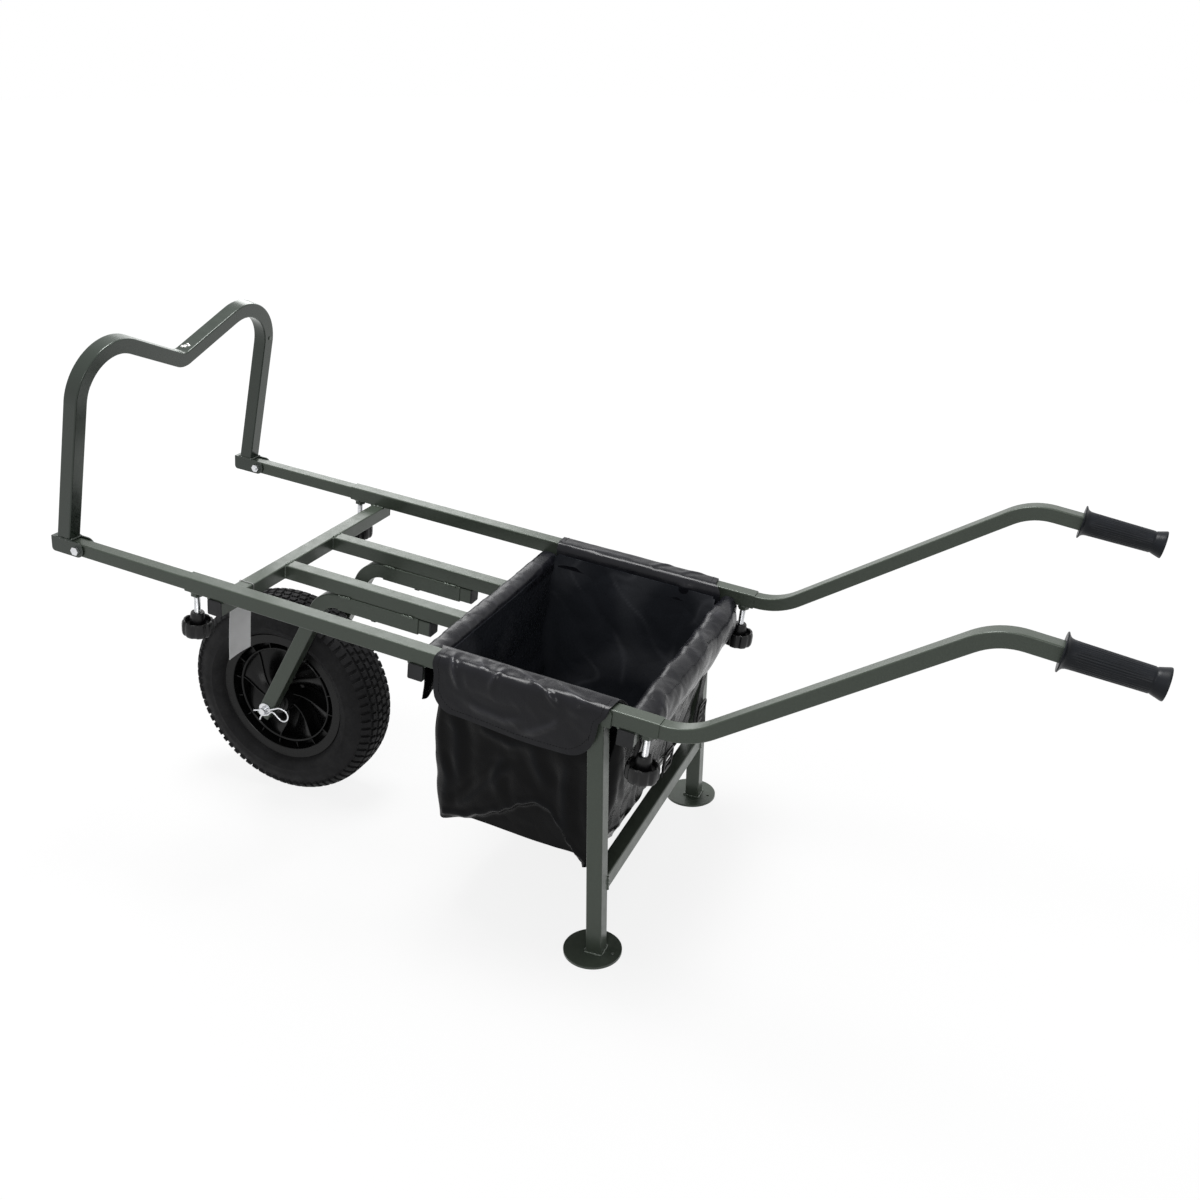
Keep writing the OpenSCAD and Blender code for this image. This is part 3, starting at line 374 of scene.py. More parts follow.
def fold_line(spot, crease):
    """A sharp ridge along a crease with a valley beside it, its ends tapered, and its height"""
    line, width, height = crease
    line = [Vector(p) for p in metres(line)]
    width /= 1000
    nearest = signed = 1.0
    fade = run = 0.0
    total = sum((b - a).length for a, b in zip(line, line[1:]))
    for a, b in zip(line, line[1:]):
        d = b - a
        t = max(0.0, min(1.0, (spot - a).dot(d) / d.length_squared))
        off = spot - a - d * t
        if off.length < nearest:
            nearest = off.length
            signed = nearest if d.x * off.y - d.y * off.x > 0 else -nearest
            part = (run + t * d.length) / total
            fade = ease(part / 0.25) * ease((1 - part) / 0.3)
        run += d.length
    if nearest > width * 5:
        return 0.0, 0.0
    ridge = (bell(signed, width) - 0.75 * bell(signed - 1.9 * width, 1.1 * width)) * fade
    return ridge, ridge * height / 1000


# Working in Blender's modes

def deselect():
    """Leaves edit mode with nothing selected"""
    if bpy.context.object and bpy.context.object.mode != "OBJECT":
        bpy.ops.object.mode_set(mode="OBJECT")
    bpy.ops.object.select_all(action="DESELECT")


def only(piece):
    """Makes a piece the one that is selected and active"""
    deselect()
    piece.select_set(True)
    bpy.context.view_layer.objects.active = piece
    return piece


def edit(piece):
    """A piece's mesh in edit mode"""
    only(piece)
    bpy.ops.object.mode_set(mode="EDIT")
    return bmesh.from_edit_mesh(piece.data)


def named(name):
    """The active piece, with its name"""
    piece = bpy.context.object
    piece.name = name
    piece.data.name = name
    return piece


def reshape(piece, new_place):
    """Moves each point of a piece to where new_place sends it"""
    for v in edit(piece).verts:
        v.co = new_place(v.co)
    bmesh.update_edit_mesh(piece.data)
    bpy.ops.object.mode_set(mode="OBJECT")
    return piece


def pick(piece, kind, wanted):
    """In edit mode, selects the faces or edges that are wanted"""
    mesh = edit(piece)
    bpy.ops.mesh.select_mode(type=kind)
    bpy.ops.mesh.select_all(action="DESELECT")
    for part in mesh.faces if kind == "FACE" else mesh.edges:
        if wanted(part):
            part.select = True
    bmesh.update_edit_mesh(piece.data)


def pressed_in(point, depth):
    """A point, pressed towards the Z axis"""
    scale = 1 - depth / point.to_2d().length
    return Vector((point.x * scale, point.y * scale, point.z))


def place(piece, matrix):
    """Puts the piece's place in its mesh, with its object at the origin"""
    piece.data.transform(matrix @ piece.matrix_basis)
    piece.matrix_basis = AS_IT_IS
    return piece


def copy_of(piece, name):
    """A copy with its own mesh"""
    twin = piece.copy()
    twin.data = piece.data.copy()
    twin.name = twin.data.name = name
    bpy.context.scene.collection.objects.link(twin)
    return twin


def join(pieces, name):
    """Several pieces as one"""
    deselect()
    for piece in pieces:
        piece.select_set(True)
    bpy.context.view_layer.objects.active = pieces[0]
    bpy.ops.object.join()
    return named(name)


def tidy_mesh(piece, merge=1e-6):
    """Merges doubles and turns all faces outwards"""
    edit(piece)
    bpy.ops.mesh.select_all(action="SELECT")
    bpy.ops.mesh.remove_doubles(threshold=merge)
    bpy.ops.mesh.normals_make_consistent(inside=False)
    bpy.ops.object.mode_set(mode="OBJECT")
    return piece


def smooth(piece, angle):
    """Smooth shading, with edges above an angle in degrees kept sharp"""
    only(piece)
    bpy.ops.object.shade_smooth_by_angle(angle=math.radians(angle))
    return piece


def thicken(piece, thickness, offset=0):
    """Gives a sheet its thickness"""
    solid = piece.modifiers.new("Thickness", "SOLIDIFY")
    solid.thickness = thickness
    solid.offset = offset
    only(piece)
    bpy.ops.object.modifier_apply(modifier=solid.name)
    return piece


def dress(piece, where, look, body, node=None):
    """Puts a piece in place, with its finish, its body and the node that it stands for"""
    place(piece, where)
    piece.data.materials.clear()
    piece.data.materials.append(finish_of(look))
    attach(piece, body)
    if node:
        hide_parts(node)


def turn(name, points, steps):
    """A body turned about Z from a profile of (radius, height), drawn by extruding"""
    deselect()
    bpy.ops.mesh.primitive_plane_add(size=0.001, location=(0, 0, 0))
    piece = named(name)
    bpy.ops.object.mode_set(mode="EDIT")
    bpy.ops.mesh.select_mode(type="VERT")
    bpy.ops.mesh.select_all(action="SELECT")
    bpy.ops.mesh.merge(type="CENTER")
    spots = [Vector((r, 0, z)) for r, z in points]
    bpy.ops.transform.translate(value=spots[0])
    for before, after in zip(spots, spots[1:]):
        bpy.ops.mesh.extrude_region_move(TRANSFORM_OT_translate={"value": after - before})
    bpy.ops.mesh.select_all(action="SELECT")
    bpy.ops.mesh.spin(steps=steps, angle=2 * math.pi, center=(0, 0, 0), axis=(0, 0, 1))
    bpy.ops.object.mode_set(mode="OBJECT")
    return tidy_mesh(piece)


def wire(name, lines, radius, sides=8, lumps=0.0):
    """Round wires along lines of points. Lumps vary the thickness, as on a weld."""
    deselect()
    data = bpy.data.curves.new(name, "CURVE")
    data.dimensions = "3D"
    data.bevel_depth = radius
    data.bevel_resolution = max(0, sides // 4 - 1)
    data.use_fill_caps = True
    for line in lines:
        spline = data.splines.new("POLY")
        spline.points.add(len(line) - 1)
        for point, spot in zip(spline.points, line):
            point.co = (*spot, 1)
            point.radius = 1 + lumps * ripple(spot[0] * 420 + 3.7, spot[1] * 420, spot[2] * 420)
    piece = bpy.data.objects.new(name, data)
    bpy.context.scene.collection.objects.link(piece)
    only(piece)
    bpy.ops.object.convert(target="MESH")
    return tidy_mesh(named(name), 1e-7)


def sheet_of(name, rows):
    """A sheet from rows of points, drawn out of a grid"""
    wide, high = len(rows[0]) - 1, len(rows) - 1
    deselect()
    bpy.ops.mesh.primitive_grid_add(x_subdivisions=wide, y_subdivisions=high, size=1)
    return reshape(named(name), lambda p: rows[round((p.y + 0.5) * high)][round((p.x + 0.5) * wide)])


# Finishes

class Nodes:
    """A node tree, built one node at a time"""

    def __init__(self, tree):
        self.tree = tree
        tree.nodes.clear()

    def fill(self, node, inputs):
        """Sets each input of a node to a value, or links it to a socket"""
        for key, value in inputs.items():
            if isinstance(value, bpy.types.NodeSocket):
                self.tree.links.new(value, node.inputs[key])
            else:
                node.inputs[key].default_value = value

    def add(self, kind, inputs=None, **options):
        """A new node beside the last one, and its outputs"""
        node = self.tree.nodes.new("ShaderNode" + kind)
        node.location.x = 220 * len(self.tree.nodes)
        for key, value in options.items():
            setattr(node, key, value)
        self.fill(node, inputs or {})
        return node.outputs

    def most(self, first, second):
        """The larger of two numbers"""
        return self.add("Math", {0: first, 1: second}, operation="MAXIMUM")[0]

    def span(self, value, low=0.3, high=0.7, to_low=0.0, to_high=1.0):
        """A value between low and high, spread over another range"""
        return self.add("MapRange", {"Value": value, "From Min": low, "From Max": high,
                                     "To Min": to_low, "To Max": to_high})["Result"]

    def seen(self):
        """1 for rays from the camera, and for those that gloss and glass send on"""
        rays = self.add("LightPath")
        return self.most(self.most(rays["Is Camera Ray"], rays["Is Glossy Ray"]), rays["Is Transmission Ray"])


class Finish(Nodes):
    """A finish of one Principled shader, patterned on the piece's Object coordinates"""

    def __init__(self, name):
        self.material = bpy.data.materials.new(name)
        self.material.use_nodes = True
        super().__init__(self.material.node_tree)
        self.shader = self.tree.nodes.new("ShaderNodeBsdfPrincipled")
        self.add("OutputMaterial", {"Surface": self.shader.outputs["BSDF"]})
        self.spot = self.add("TexCoord")["Object"]

    def made(self, inputs):
        """The finished material, with its shader's inputs"""
        self.fill(self.shader, inputs)
        return self.material

    def grain(self, scale, detail=3.0, rough=0.5, spot=None):
        """Noise on the piece, coarse to fine"""
        return self.add("TexNoise", {"Scale": scale, "Detail": detail, "Roughness": rough,
                                     "Vector": spot or self.spot})["Fac"]

    def uneven(self, scale, low, high):
        """A number that wavers between low and high"""
        return self.span(self.grain(scale, 4), to_low=low, to_high=high)

    def tint(self, amount, first, second):
        """Colour from first to second by amount"""
        first, second = (c if isinstance(c, bpy.types.NodeSocket) else (*c, 1) for c in (first, second))
        return self.add("Mix", {0: amount, 6: first, 7: second}, data_type="RGBA")[2]

    def relief(self, height, depth, strength=1.0, under=None):
        """A bump of a depth in metres, on top of another"""
        inputs = {"Height": height, "Distance": depth, "Strength": strength}
        if under:
            inputs["Normal"] = under
        return self.add("Bump", inputs)["Normal"]


def shade(colour, k):
    """A colour made darker or lighter"""
    return tuple(max(0.0, min(1.0, c * k)) for c in colour)


def powder_coat(name, colour, rough, speckle, peel, coat, shine):
    """Powder coat: fine two-tone speckle, orange peel and faint patches"""
    f = Finish(name)
    flecks = f.span(f.grain(1100, 2), 0.35, 0.65)
    fine = f.tint(flecks, shade(colour, 1 - speckle), shade(colour, 1 + speckle))
    worn = f.tint(f.span(f.grain(9)), shade(colour, 0.93), shade(colour, 1.07))
    return f.made({
        "Base Color": f.tint(0.5, fine, worn),
        "Roughness": f.uneven(60, rough - 0.05, rough + 0.06),
        "Normal": f.relief(f.grain(520, 2), peel),
        "Specular IOR Level": shine,
        "Specular Tint": (0.92, 1.0, 0.93, 1),
        "Coat Weight": coat,
        "Coat Tint": (0.94, 1.0, 0.95, 1),
        "Coat Roughness": 0.2,
    })


def bright_metal(name, colour, rough):
    """Zinc plate: fine scratches across a slightly uneven shine"""
    f = Finish(name)
    stretched = f.add("Mapping", {"Vector": f.spot, "Scale": (1, 1, 0.12)})["Vector"]
    lines = f.grain(900, 3, 0.6, stretched)
    return f.made({
        "Base Color": f.tint(f.span(f.grain(160)), shade(colour, 0.82), colour),
        "Roughness": f.span(lines, to_low=rough, to_high=rough + 0.2),
        "Normal": f.relief(lines, 0.00004),
        "Metallic": 1,
    })


def moulded(name, colour, rough, texture, specular):
    """Moulded plastic or rubber: fine spark texture and slight scuffs"""
    f = Finish(name)
    scuff = f.span(f.grain(45, 5, 0.65), 0.45, 0.75)
    return f.made({
        "Base Color": f.tint(scuff, shade(colour, 0.9), shade(colour, 1.35)),
        "Roughness": f.uneven(80, rough - 0.06, rough + 0.08),
        "Normal": f.relief(f.grain(1500, 2), texture),
        "Specular IOR Level": specular,
    })


def tyre_rubber(name, colour):
    """Tyre rubber: matt, dusty in the grooves and faintly mottled"""
    f = Finish(name)
    mottle = f.tint(f.span(f.grain(30, 6, 0.6), 0.35, 0.7), shade(colour, 0.85), shade(colour, 1.25))
    dust = f.span(f.grain(240, 4, 0.7), 0.5, 0.8)
    return f.made({
        "Base Color": f.tint(dust, mottle, shade(colour, 1.7)),
        "Roughness": f.uneven(50, 0.58, 0.76),
        "Normal": f.relief(f.grain(1300), 0.0001),
        "Specular IOR Level": 0.14,
    })


def coated_cloth(name, colour, rough, crease, shine):
    """Coated nylon: fine plain weave under a smooth coat, with painted highlights along the creases and a painted
    sheen that makes the inside paler
    """
    f = Finish(name)
    weave = [f.add("TexWave", {"Scale": 480, "Vector": f.spot}, bands_direction=axis)["Fac"]
             for axis in "XYZ"]
    both = f.add("Math", {0: weave[0], 1: weave[1]}, operation="ADD")[0]
    bumps = f.relief(f.add("Math", {0: both, 1: weave[2]}, operation="ADD")[0], 0.00001)
    warp = f.add("Mapping", {"Vector": f.spot, "Scale": (1, 1, 0.7), "Rotation": (0.3, 0.5, 0.2)})["Vector"]
    for scale, depth in ((13, 0.0018), (31, 0.0004)):
        facets = f.add("TexVoronoi", {"Scale": scale, "Vector": warp}, feature="DISTANCE_TO_EDGE")["Distance"]
        bumps = f.relief(f.span(facets, 0.0, 0.32), depth, 0.75, bumps)
    base = f.tint(f.span(f.grain(14)), shade(colour, 0.8), shade(colour, 1.25))
    # The crease attribute holds painted light: 0 to 1 is a painted highlight along the creases, and 1 to 2 is the
    # painted sheen of the inner side
    painted_highlight = f.add("Attribute", attribute_name="crease")["Fac"]
    crease_highlighted = f.tint(f.span(painted_highlight, 0.0, 1.0), base, crease)
    return f.made({
        # Painted sheen: the inner side goes from the crease colour towards a pale blue-grey
        "Base Color": f.tint(f.span(painted_highlight, 1.0, 2.0), crease_highlighted, (0.080, 0.083, 0.093)),
        "Roughness": f.uneven(70, rough - 0.07, rough + 0.09),
        "Normal": f.relief(f.grain(26, 1.5, 0.4), 0.0016, 0.6, bumps),
        "Specular IOR Level": shine,
        "Coat Weight": shine,
        "Coat Roughness": 0.1,
    })


def woven_tape(name, colour):
    """Webbing: ribs across the tape and a fine warp"""
    f = Finish(name)
    ribs = f.add("TexWave", {"Scale": 260, "Distortion": 0.6, "Vector": f.spot}, bands_direction="Z")["Fac"]
    return f.made({
        "Base Color": f.tint(ribs, shade(colour, 0.6), shade(colour, 1.4)),
        "Roughness": f.span(f.grain(300), to_low=0.55, to_high=0.75),
        "Normal": f.relief(ribs, 0.0004),
    })


def plain_card(name, colour):
    """Card: faint fibres and a soft uneven white"""
    f = Finish(name)
    fibre = f.grain(700, 4, 0.6)
    return f.made({
        "Base Color": f.tint(f.span(f.grain(18)), shade(colour, 0.93), shade(colour, 1.06)),
        "Roughness": f.span(fibre, to_low=0.42, to_high=0.6),
        "Normal": f.relief(fibre, 0.00005),
    })


FINISHES = {}


def finish_of(look):
    """Each finish is made once and then shared"""
    if look not in FINISHES:
        scene = bpy.context.scene
        paint = tuple(scene.trolley_frame.paint)
        hoop = tuple(scene.trolley_frame.hoop_paint)
        walls = tuple(scene.trolley_bag.cloth)
        flaps = tuple(scene.trolley_bag.flap_cloth)
        # Maker, name and colour, and then for powder coat its roughness, speckle, orange
        # peel, coat and shine, for metal its roughness, for a moulding its roughness,
        # texture and shine, and for cloth its roughness, the colour of its painted crease highlights and shine
        looks = {
            "frame_paint": (powder_coat, "Frame Paint", paint, 0.34, 0.30, 0.00009, 0.18, 0.4),
            "hoop_paint": (powder_coat, "Hoop Paint", hoop, 0.22, 0.22, 0.00003, 0.5, 0.28),
            "weld_paint": (powder_coat, "Weld Paint", shade(paint, 1.05), 0.22, 0.2, 0.00008, 0.5, 0.5),
            "zinc": (bright_metal, "Bright Zinc", (0.74, 0.75, 0.77), 0.16),
            "bare_weld": (bright_metal, "Bare Weld", (0.62, 0.62, 0.60), 0.3),
            "black_steel": (moulded, "Black Oxide", (0.012, 0.012, 0.013), 0.4, 0.00004, 0.4),
            "cap_plastic": (moulded, "Cap Plastic", (0.019, 0.0195, 0.021), 0.5, 0.00006, 0.25),
            "knob_plastic": (moulded, "Knob Plastic", (0.0042, 0.0042, 0.0048), 0.33, 0.00005, 0.3),
            "rim_plastic": (moulded, "Rim Plastic", tuple(scene.trolley_rim.plastic), 0.27, 0.00004, 0.20),
            "bush_plastic": (moulded, "Bush Plastic", (0.016, 0.016, 0.016), 0.45, 0.00005, 0.25),
            "grip_rubber": (moulded, "Grip Rubber", tuple(scene.trolley_grips.rubber), 0.38, 0.00005, 0.18),
            "buckle_plastic": (moulded, "Buckle Plastic", (0.005, 0.005, 0.005), 0.18, 0.00002, 0.4),
            "tie": (moulded, "Nylon Tie", (0.30, 0.30, 0.30), 0.35, 0.00002, 0.4),
            "thread": (moulded, "Stitching", (0.005, 0.005, 0.006), 0.6, 0.0001, 0.2),
            "tyre_rubber": (tyre_rubber, "Tyre Rubber", tuple(scene.trolley_tyre.rubber)),
            # The crease colours are painted highlights, and the bag cloth's crease colour is also the painted
            # sheen of the inner side
            "bag_cloth": (coated_cloth, "Bag Cloth", walls, 0.26, (0.0100, 0.0120, 0.0165), 0.06),
            # The flaps and sleeves: the walls' black cloth made paler, a painted sheen
            "flap_cloth": (coated_cloth, "Flap Cloth", flaps, 0.28, (0.055, 0.055, 0.066), 0.13),
            "webbing": (woven_tape, "Webbing", (0.006, 0.006, 0.0065)),
            "card": (plain_card, "Blank Card", tuple(scene.trolley_small.card)),
        }
        maker, *values = looks[look]
        FINISHES[look] = maker(*values)
    return FINISHES[look]


class TROLLEY_OT_frame_finish(bpy.types.Operator):
    """Give every CAD solid of the trolley its finish"""
    bl_idname = "trolley.frame_finish"
    bl_label = "Finish the Frame"

    def execute(self, context):
        for row in frame["record"]["subparts"]:
            node = cad_nodes[row["node"]]
            look = "hoop_paint" if row["node"] in HOOP_PARTS else row["material_slot"]
            if not node.data.materials:
                node.data.materials.append(None)
            for slot in node.material_slots:
                slot.material = finish_of(look)
        return {"FINISHED"}


class TROLLEY_OT_tyre(bpy.types.Operator):
    """Spin the tyre and raise its tread blocks"""
    bl_idname = "trolley.tyre"
    bl_label = "Tyre"

    def execute(self, context):
        s = settings(context, "tyre")
        half = metres(TYRE_HALF)
        steps = s.pitches * 3
        piece = turn("tyre_tread", [(r, -z) for r, z in reversed(half)] + half, steps)
        # Bands of blocks on each side of the middle groove, each one step further round
        bands = ((0.0015, 0.0125), (0.0155, 0.0265), (0.0295, 0.0425))

        def block(face):
            centre = face.calc_center_median()
            step = int(math.floor((math.atan2(centre.y, centre.x) / (2 * math.pi) + 1) * steps + 1e-4))
            for shift, (low, high) in enumerate(bands):
                if low < abs(centre.z) < high and centre.to_2d().length > 0.165:
                    return (step + shift + (centre.z >= 0)) % 3 < 2
            return False

        pick(piece, "FACE", block)
        bpy.ops.mesh.inset(thickness=0.0006, depth=s.block_height, use_even_offset=True)
        bpy.ops.object.mode_set(mode="OBJECT")
        dress(smooth(piece, 28), WHEEL, "tyre_rubber", "wheel", "tyre")
        return {"FINISHED"}


class TROLLEY_OT_rim(bpy.types.Operator):
    """Turn the rim, then add its fins and curved vanes"""
    bl_idname = "trolley.rim"
    bl_label = "Rim"

    def execute(self, context):
        s = settings(context, "rim")
        side = metres(RIM_SIDE)
        other_side = [(r, -z) for r, z in reversed(side[1:])]
        parts = [turn("rim_ring", side + other_side + [side[0]], 144)]
        start = math.radians(5)
        for k in range(s.fins):
            for up in (1, -1):
                parts.append(self.fin(start + k * 2 * math.pi / s.fins, up))
        for k in range(s.vanes):
            for up in (1, -1):
                parts.append(self.vane(start + k * 2 * math.pi / s.vanes, up, s.vanes))
        piece = join(parts, "rim_moulding")
        dress(smooth(piece, 30), WHEEL, "rim_plastic", "wheel", "rim")
        return {"FINISHED"}

    def fin(self, angle, up):
        """A thin fin with a rounded top, across the channel"""
        deselect()
        bpy.ops.mesh.primitive_cube_add(
            size=1, location=(0.100, 0, up * 0.0205), scale=(0.0125, 0.0023, 0.0160))
        piece = place(named("fin"), AS_IT_IS)
        pick(piece, "EDGE", lambda edge: all(abs(v.co.z) > 0.025 for v in edge.verts))
        bpy.ops.mesh.bevel(offset=0.0008, segments=2, affect="EDGES")
        bpy.ops.object.mode_set(mode="OBJECT")
        return place(piece, Matrix.Rotation(angle, 4, "Z"))

    def vane(self, angle, up, count):
        """A curved vane: a thin raised rib, and a broad blade that slopes from it to the web"""
        deselect()
        bpy.ops.mesh.primitive_grid_add(x_subdivisions=16, y_subdivisions=12, size=1)
        width = 2 * math.pi / count * 0.93
        web, rib = 0.0035, 0.0024

        def swept(point):
            along = point.x + 0.5
            row = round((point.y + 0.5) * 12)
            radius = 0.0262 + along * 0.0636
            crest = 0.0255 + 0.008 * (1 - along) ** 2
            if row < 5:
                offset, height = ((-0.0004, web), (0.0, crest - 0.0004), (0.0004, crest),
                                  (0.0017, crest), (rib, crest - 0.0034))[row]
                theta = offset / radius
            else:
                t = (row - 4) / 8
                height = web + (crest - 0.0069) * (1 - ease(t)) ** 1.2
                theta = rib / radius + (width - rib / radius) * t
            theta += angle - 0.62 * (1 - along) ** 1.6
            return radius * math.cos(theta), radius * math.sin(theta), up * height

        piece = reshape(named("vane"), swept)
        if up < 0:
            piece.data.flip_normals()
        return piece


class TROLLEY_OT_axle_clips(bpy.types.Operator):
    """Bend the spring clips through the axle's ends"""
    bl_idname = "trolley.axle_clips"
    bl_label = "Axle Clips"

    def execute(self, context):
        thick = settings(context, "small").wire
        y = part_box("axle_clips")[1].y - thick / 2
        turned = Matrix.Rotation(math.radians(-18.6), 4, "Y")
        bent = self.curve([Vector((a, 0, b)) for a, b in metres(CLIP)])
        parts = []
        for side in (-1, 1):
            path = []
            for k, spot in enumerate(bent):
                # The way back lies a little outside the way in
                lift = 0.0016 * ease((k - 60) / 40)
                path.append(Vector((AXLE.x, side * (y + lift), AXLE.z)) + turned @ spot)
            parts.append(wire("clip", [path], thick / 2, 12))
        piece = join(parts, "clip_wires")
        dress(smooth(piece, 60), DECK, "zinc", "frame", "axle_clips")
        return {"FINISHED"}

    def curve(self, spots, steps=6):
        """A smooth line through all the spots"""
        out = []
        padded = [spots[0], *spots, spots[-1]]
        for a, b, c, d in zip(padded, padded[1:], padded[2:], padded[3:]):
            for k in range(steps):
                t = k / steps
                out.append(0.5 * (2 * b + (c - a) * t + (2 * a - 5 * b + 4 * c - d) * t ** 2
                                  + (3 * b - a - 3 * c + d) * t ** 3))
        return out + [spots[-1]]


class TROLLEY_OT_grips(bpy.types.Operator):
    """Turn the two rubber grips and cut their fine flutes"""
    bl_idname = "trolley.grips"
    bl_label = "Grips"

    def execute(self, context):
        s = settings(context, "grips")

        def fluted(point):
            if not 0.0125 < point.z < 0.1008 or point.to_2d().length <= 0.0160:
                return point
            cut = s.flute_depth * max(0.0, math.cos(s.flutes * math.atan2(point.y, point.x))) ** 2
            fade = ease((point.z - 0.0120) / 0.005) * ease((0.1010 - point.z) / 0.004)
            return pressed_in(point, cut * fade)

        grip = smooth(reshape(turn("grip", metres(GRIP), s.flutes * 6), fluted), 40)
        # The CAD grip's own points give the middle of its flange's front face
        droop = math.radians(3)
        turned = DECK.to_3x3() @ Matrix.Rotation(droop, 3, "Y")
        along = turned @ Vector((1, 0, 0))
        up = turned @ Vector((0, 0, 1))
        points = [v.co for v in cad_nodes["grip_far"].data.vertices]
        heights = [p.dot(up) for p in points]
        mouth = along * min(p.dot(along) for p in points) + up * (max(heights) + min(heights)) / 2
        lie = Matrix.Rotation(TILT + droop, 4, "Y") @ Matrix.Rotation(math.radians(90), 4, "Y")
        for side, y in (("near", -RAIL_Y), ("far", RAIL_Y)):
            piece = copy_of(grip, "grip_rubber_" + side)
            there = Matrix.Translation((mouth.x, y, mouth.z)) @ lie
            dress(piece, there, "grip_rubber", "handle_" + side, "grip_" + side)
        bpy.data.objects.remove(grip)
        return {"FINISHED"}


class TROLLEY_OT_knobs(bpy.types.Operator):
    """Turn the lobed knobs and the threaded clamp screws"""
    bl_idname = "trolley.knobs"
    bl_label = "Clamp Knobs"

    def execute(self, context):
        s = settings(context, "knobs")
        collar = 0.0196

        def lobed(point):
            radius = point.to_2d().length
            if radius <= collar:
                return point
            dip = max(0.0, math.cos(s.lobes * math.atan2(point.y, point.x))) ** 1.5
            return pressed_in(point, s.scallop * dip * ease((radius - collar) / 0.003))

        knob = smooth(reshape(turn("knob", metres(KNOB), s.lobes * 12), lobed), 40)
        length, foot = 0.0502, -0.101
        thread = [(0.0, 0.0), (0.0042, 0.0)]
        for k in range(int(length / s.thread_pitch) - 1):
            thread += [(0.0050, (k + 0.45) * s.thread_pitch), (0.0045, (k + 0.95) * s.thread_pitch)]
        thread += [(0.0048, length - 0.001), (0.0040, length), (0.0, length)]
        screw = smooth(turn("screw", thread, 28), 20)
        for end in ("front", "rear"):
            for side in ("near", "far"):
                spot = f"{end}_{side}"
                low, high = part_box("clamp_screw_" + spot)
                middle = DECK.inverted() @ ((low + high) / 2)
                turned = Matrix.Rotation(0.4 * len(end) + (0.3 if side == "far" else 0), 4, "Z")
                for part, name, z, look, node in (
                        (screw, "screw_thread_", middle.z - length / 2, "zinc", "clamp_screw_"),
                        (knob, "knob_cup_", foot, "knob_plastic", "knob_")):
                    there = DECK @ Matrix.Translation((middle.x, middle.y, z)) @ turned
                    dress(copy_of(part, name + spot), there, look, "clamp_" + spot, node + spot)
        bpy.data.objects.remove(knob)
        bpy.data.objects.remove(screw)
        return {"FINISHED"}


class TROLLEY_OT_welds(bpy.types.Operator):
    """Lay the weld beads where the tubes and brackets meet"""
    bl_idname = "trolley.welds"
    bl_label = "Welds"

    def execute(self, context):
        self.radius = settings(context, "frame").bead_width / 2
        lines = [line for side in (-1, 1) for line in self.deck_beads(side)]
        self.bead("frame_welds", lines, DECK, "weld_paint", "frame")
        lines = [self.square(HOOP_X, side * RAIL_Y, 0.0008, 0.0138, 0.0126) for side in (-1, 1)]
        self.bead("hoop_welds", lines, DECK, "hoop_paint", "hoop")
        lines = [line for side in (-1, 1) for line in self.leg_beads(side)]
        self.bead("leg_welds", lines, AS_IT_IS, "weld_paint", "legs")
        return {"FINISHED"}

    def deck_beads(self, side):
        """Beads of the crossmembers, deck bars, fork sleeves and clamp nuts of one side"""
        half, under = TUBE / 2, -0.0252
        lines = []
        for x in CROSS_X:
            y = side * (RAIL_Y - half)
            lines.append(((x - half, y, -TUBE), (x + half, y, -TUBE)))
            for edge in (x - half, x + half):
                lines.append(((edge, side * 0.226, under), (edge, side * 0.2495, under)))
        for x in (CROSS_X[0] + half, CROSS_X[1] - half):
            for y in (side * (BAR_Y - half), side * (BAR_Y + half)):
                lines.append(((x, y, -0.0265), (x, y, -0.0485)))
            lines.append(((x, side * (BAR_Y - 0.010), under), (x, side * (BAR_Y + 0.010), under)))
        for x in SLEEVE_X:
            for y in (side * (BAR_Y - 0.0139), side * (BAR_Y + 0.0139)):
                lines.append(((x - 0.010, y, -0.0505), (x + 0.012, y, -0.0505)))
        for x in CLAMP_X:
            turns = [k / 12 * math.pi for k in range(25)]
            lines.append([(x + 0.0092 * math.cos(a), side * RAIL_Y + 0.0092 * math.sin(a), -0.0256)
                          for a in turns])
        return lines

    def leg_beads(self, side):
        """Beads at the foot plate and the brace of one leg"""
        low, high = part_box("leg_near")
        x = (low.x + high.x) / 2
        y = side * 0.2250
        low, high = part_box("leg_brace")
        lines = [self.square(x, side * RAIL_Y, 0.0046, 0.0132, 0.0132)]
        for z in (low.z, high.z):
            lines.append(((x - 0.011, y, z), (x + 0.011, y, z)))
        for edge in (x - TUBE / 2, x + TUBE / 2):
            lines.append(((edge, y, low.z + 0.001), (edge, y, high.z - 0.001)))
        return lines

    def square(self, x, y, z, half_x, half_y):
        """A bead round the foot of a square tube"""
        corners = [(-1, -1), (1, -1), (1, 1), (-1, 1), (-1, -1)]
        return [(x + a * half_x, y + b * half_y, z) for a, b in corners]

    def bead(self, name, lines, where, look, body):
        """Lumpy beads along lines, with a small waver"""
        paths = []
        for line in lines:
            path = []
            for a, b in zip(line, line[1:]):
                a, b = Vector(a), Vector(b)
                count = max(2, int((b - a).length / 0.0011))
                path += [a.lerp(b, k / count) for k in range(count)]
            path.append(Vector(line[-1]))
            paths.append([spot + noise.noise_vector(spot * 260) * 0.0005 for spot in path])
        piece = wire(name, paths, self.radius, 8, 0.55)
        dress(smooth(piece, 60), where, look, body)


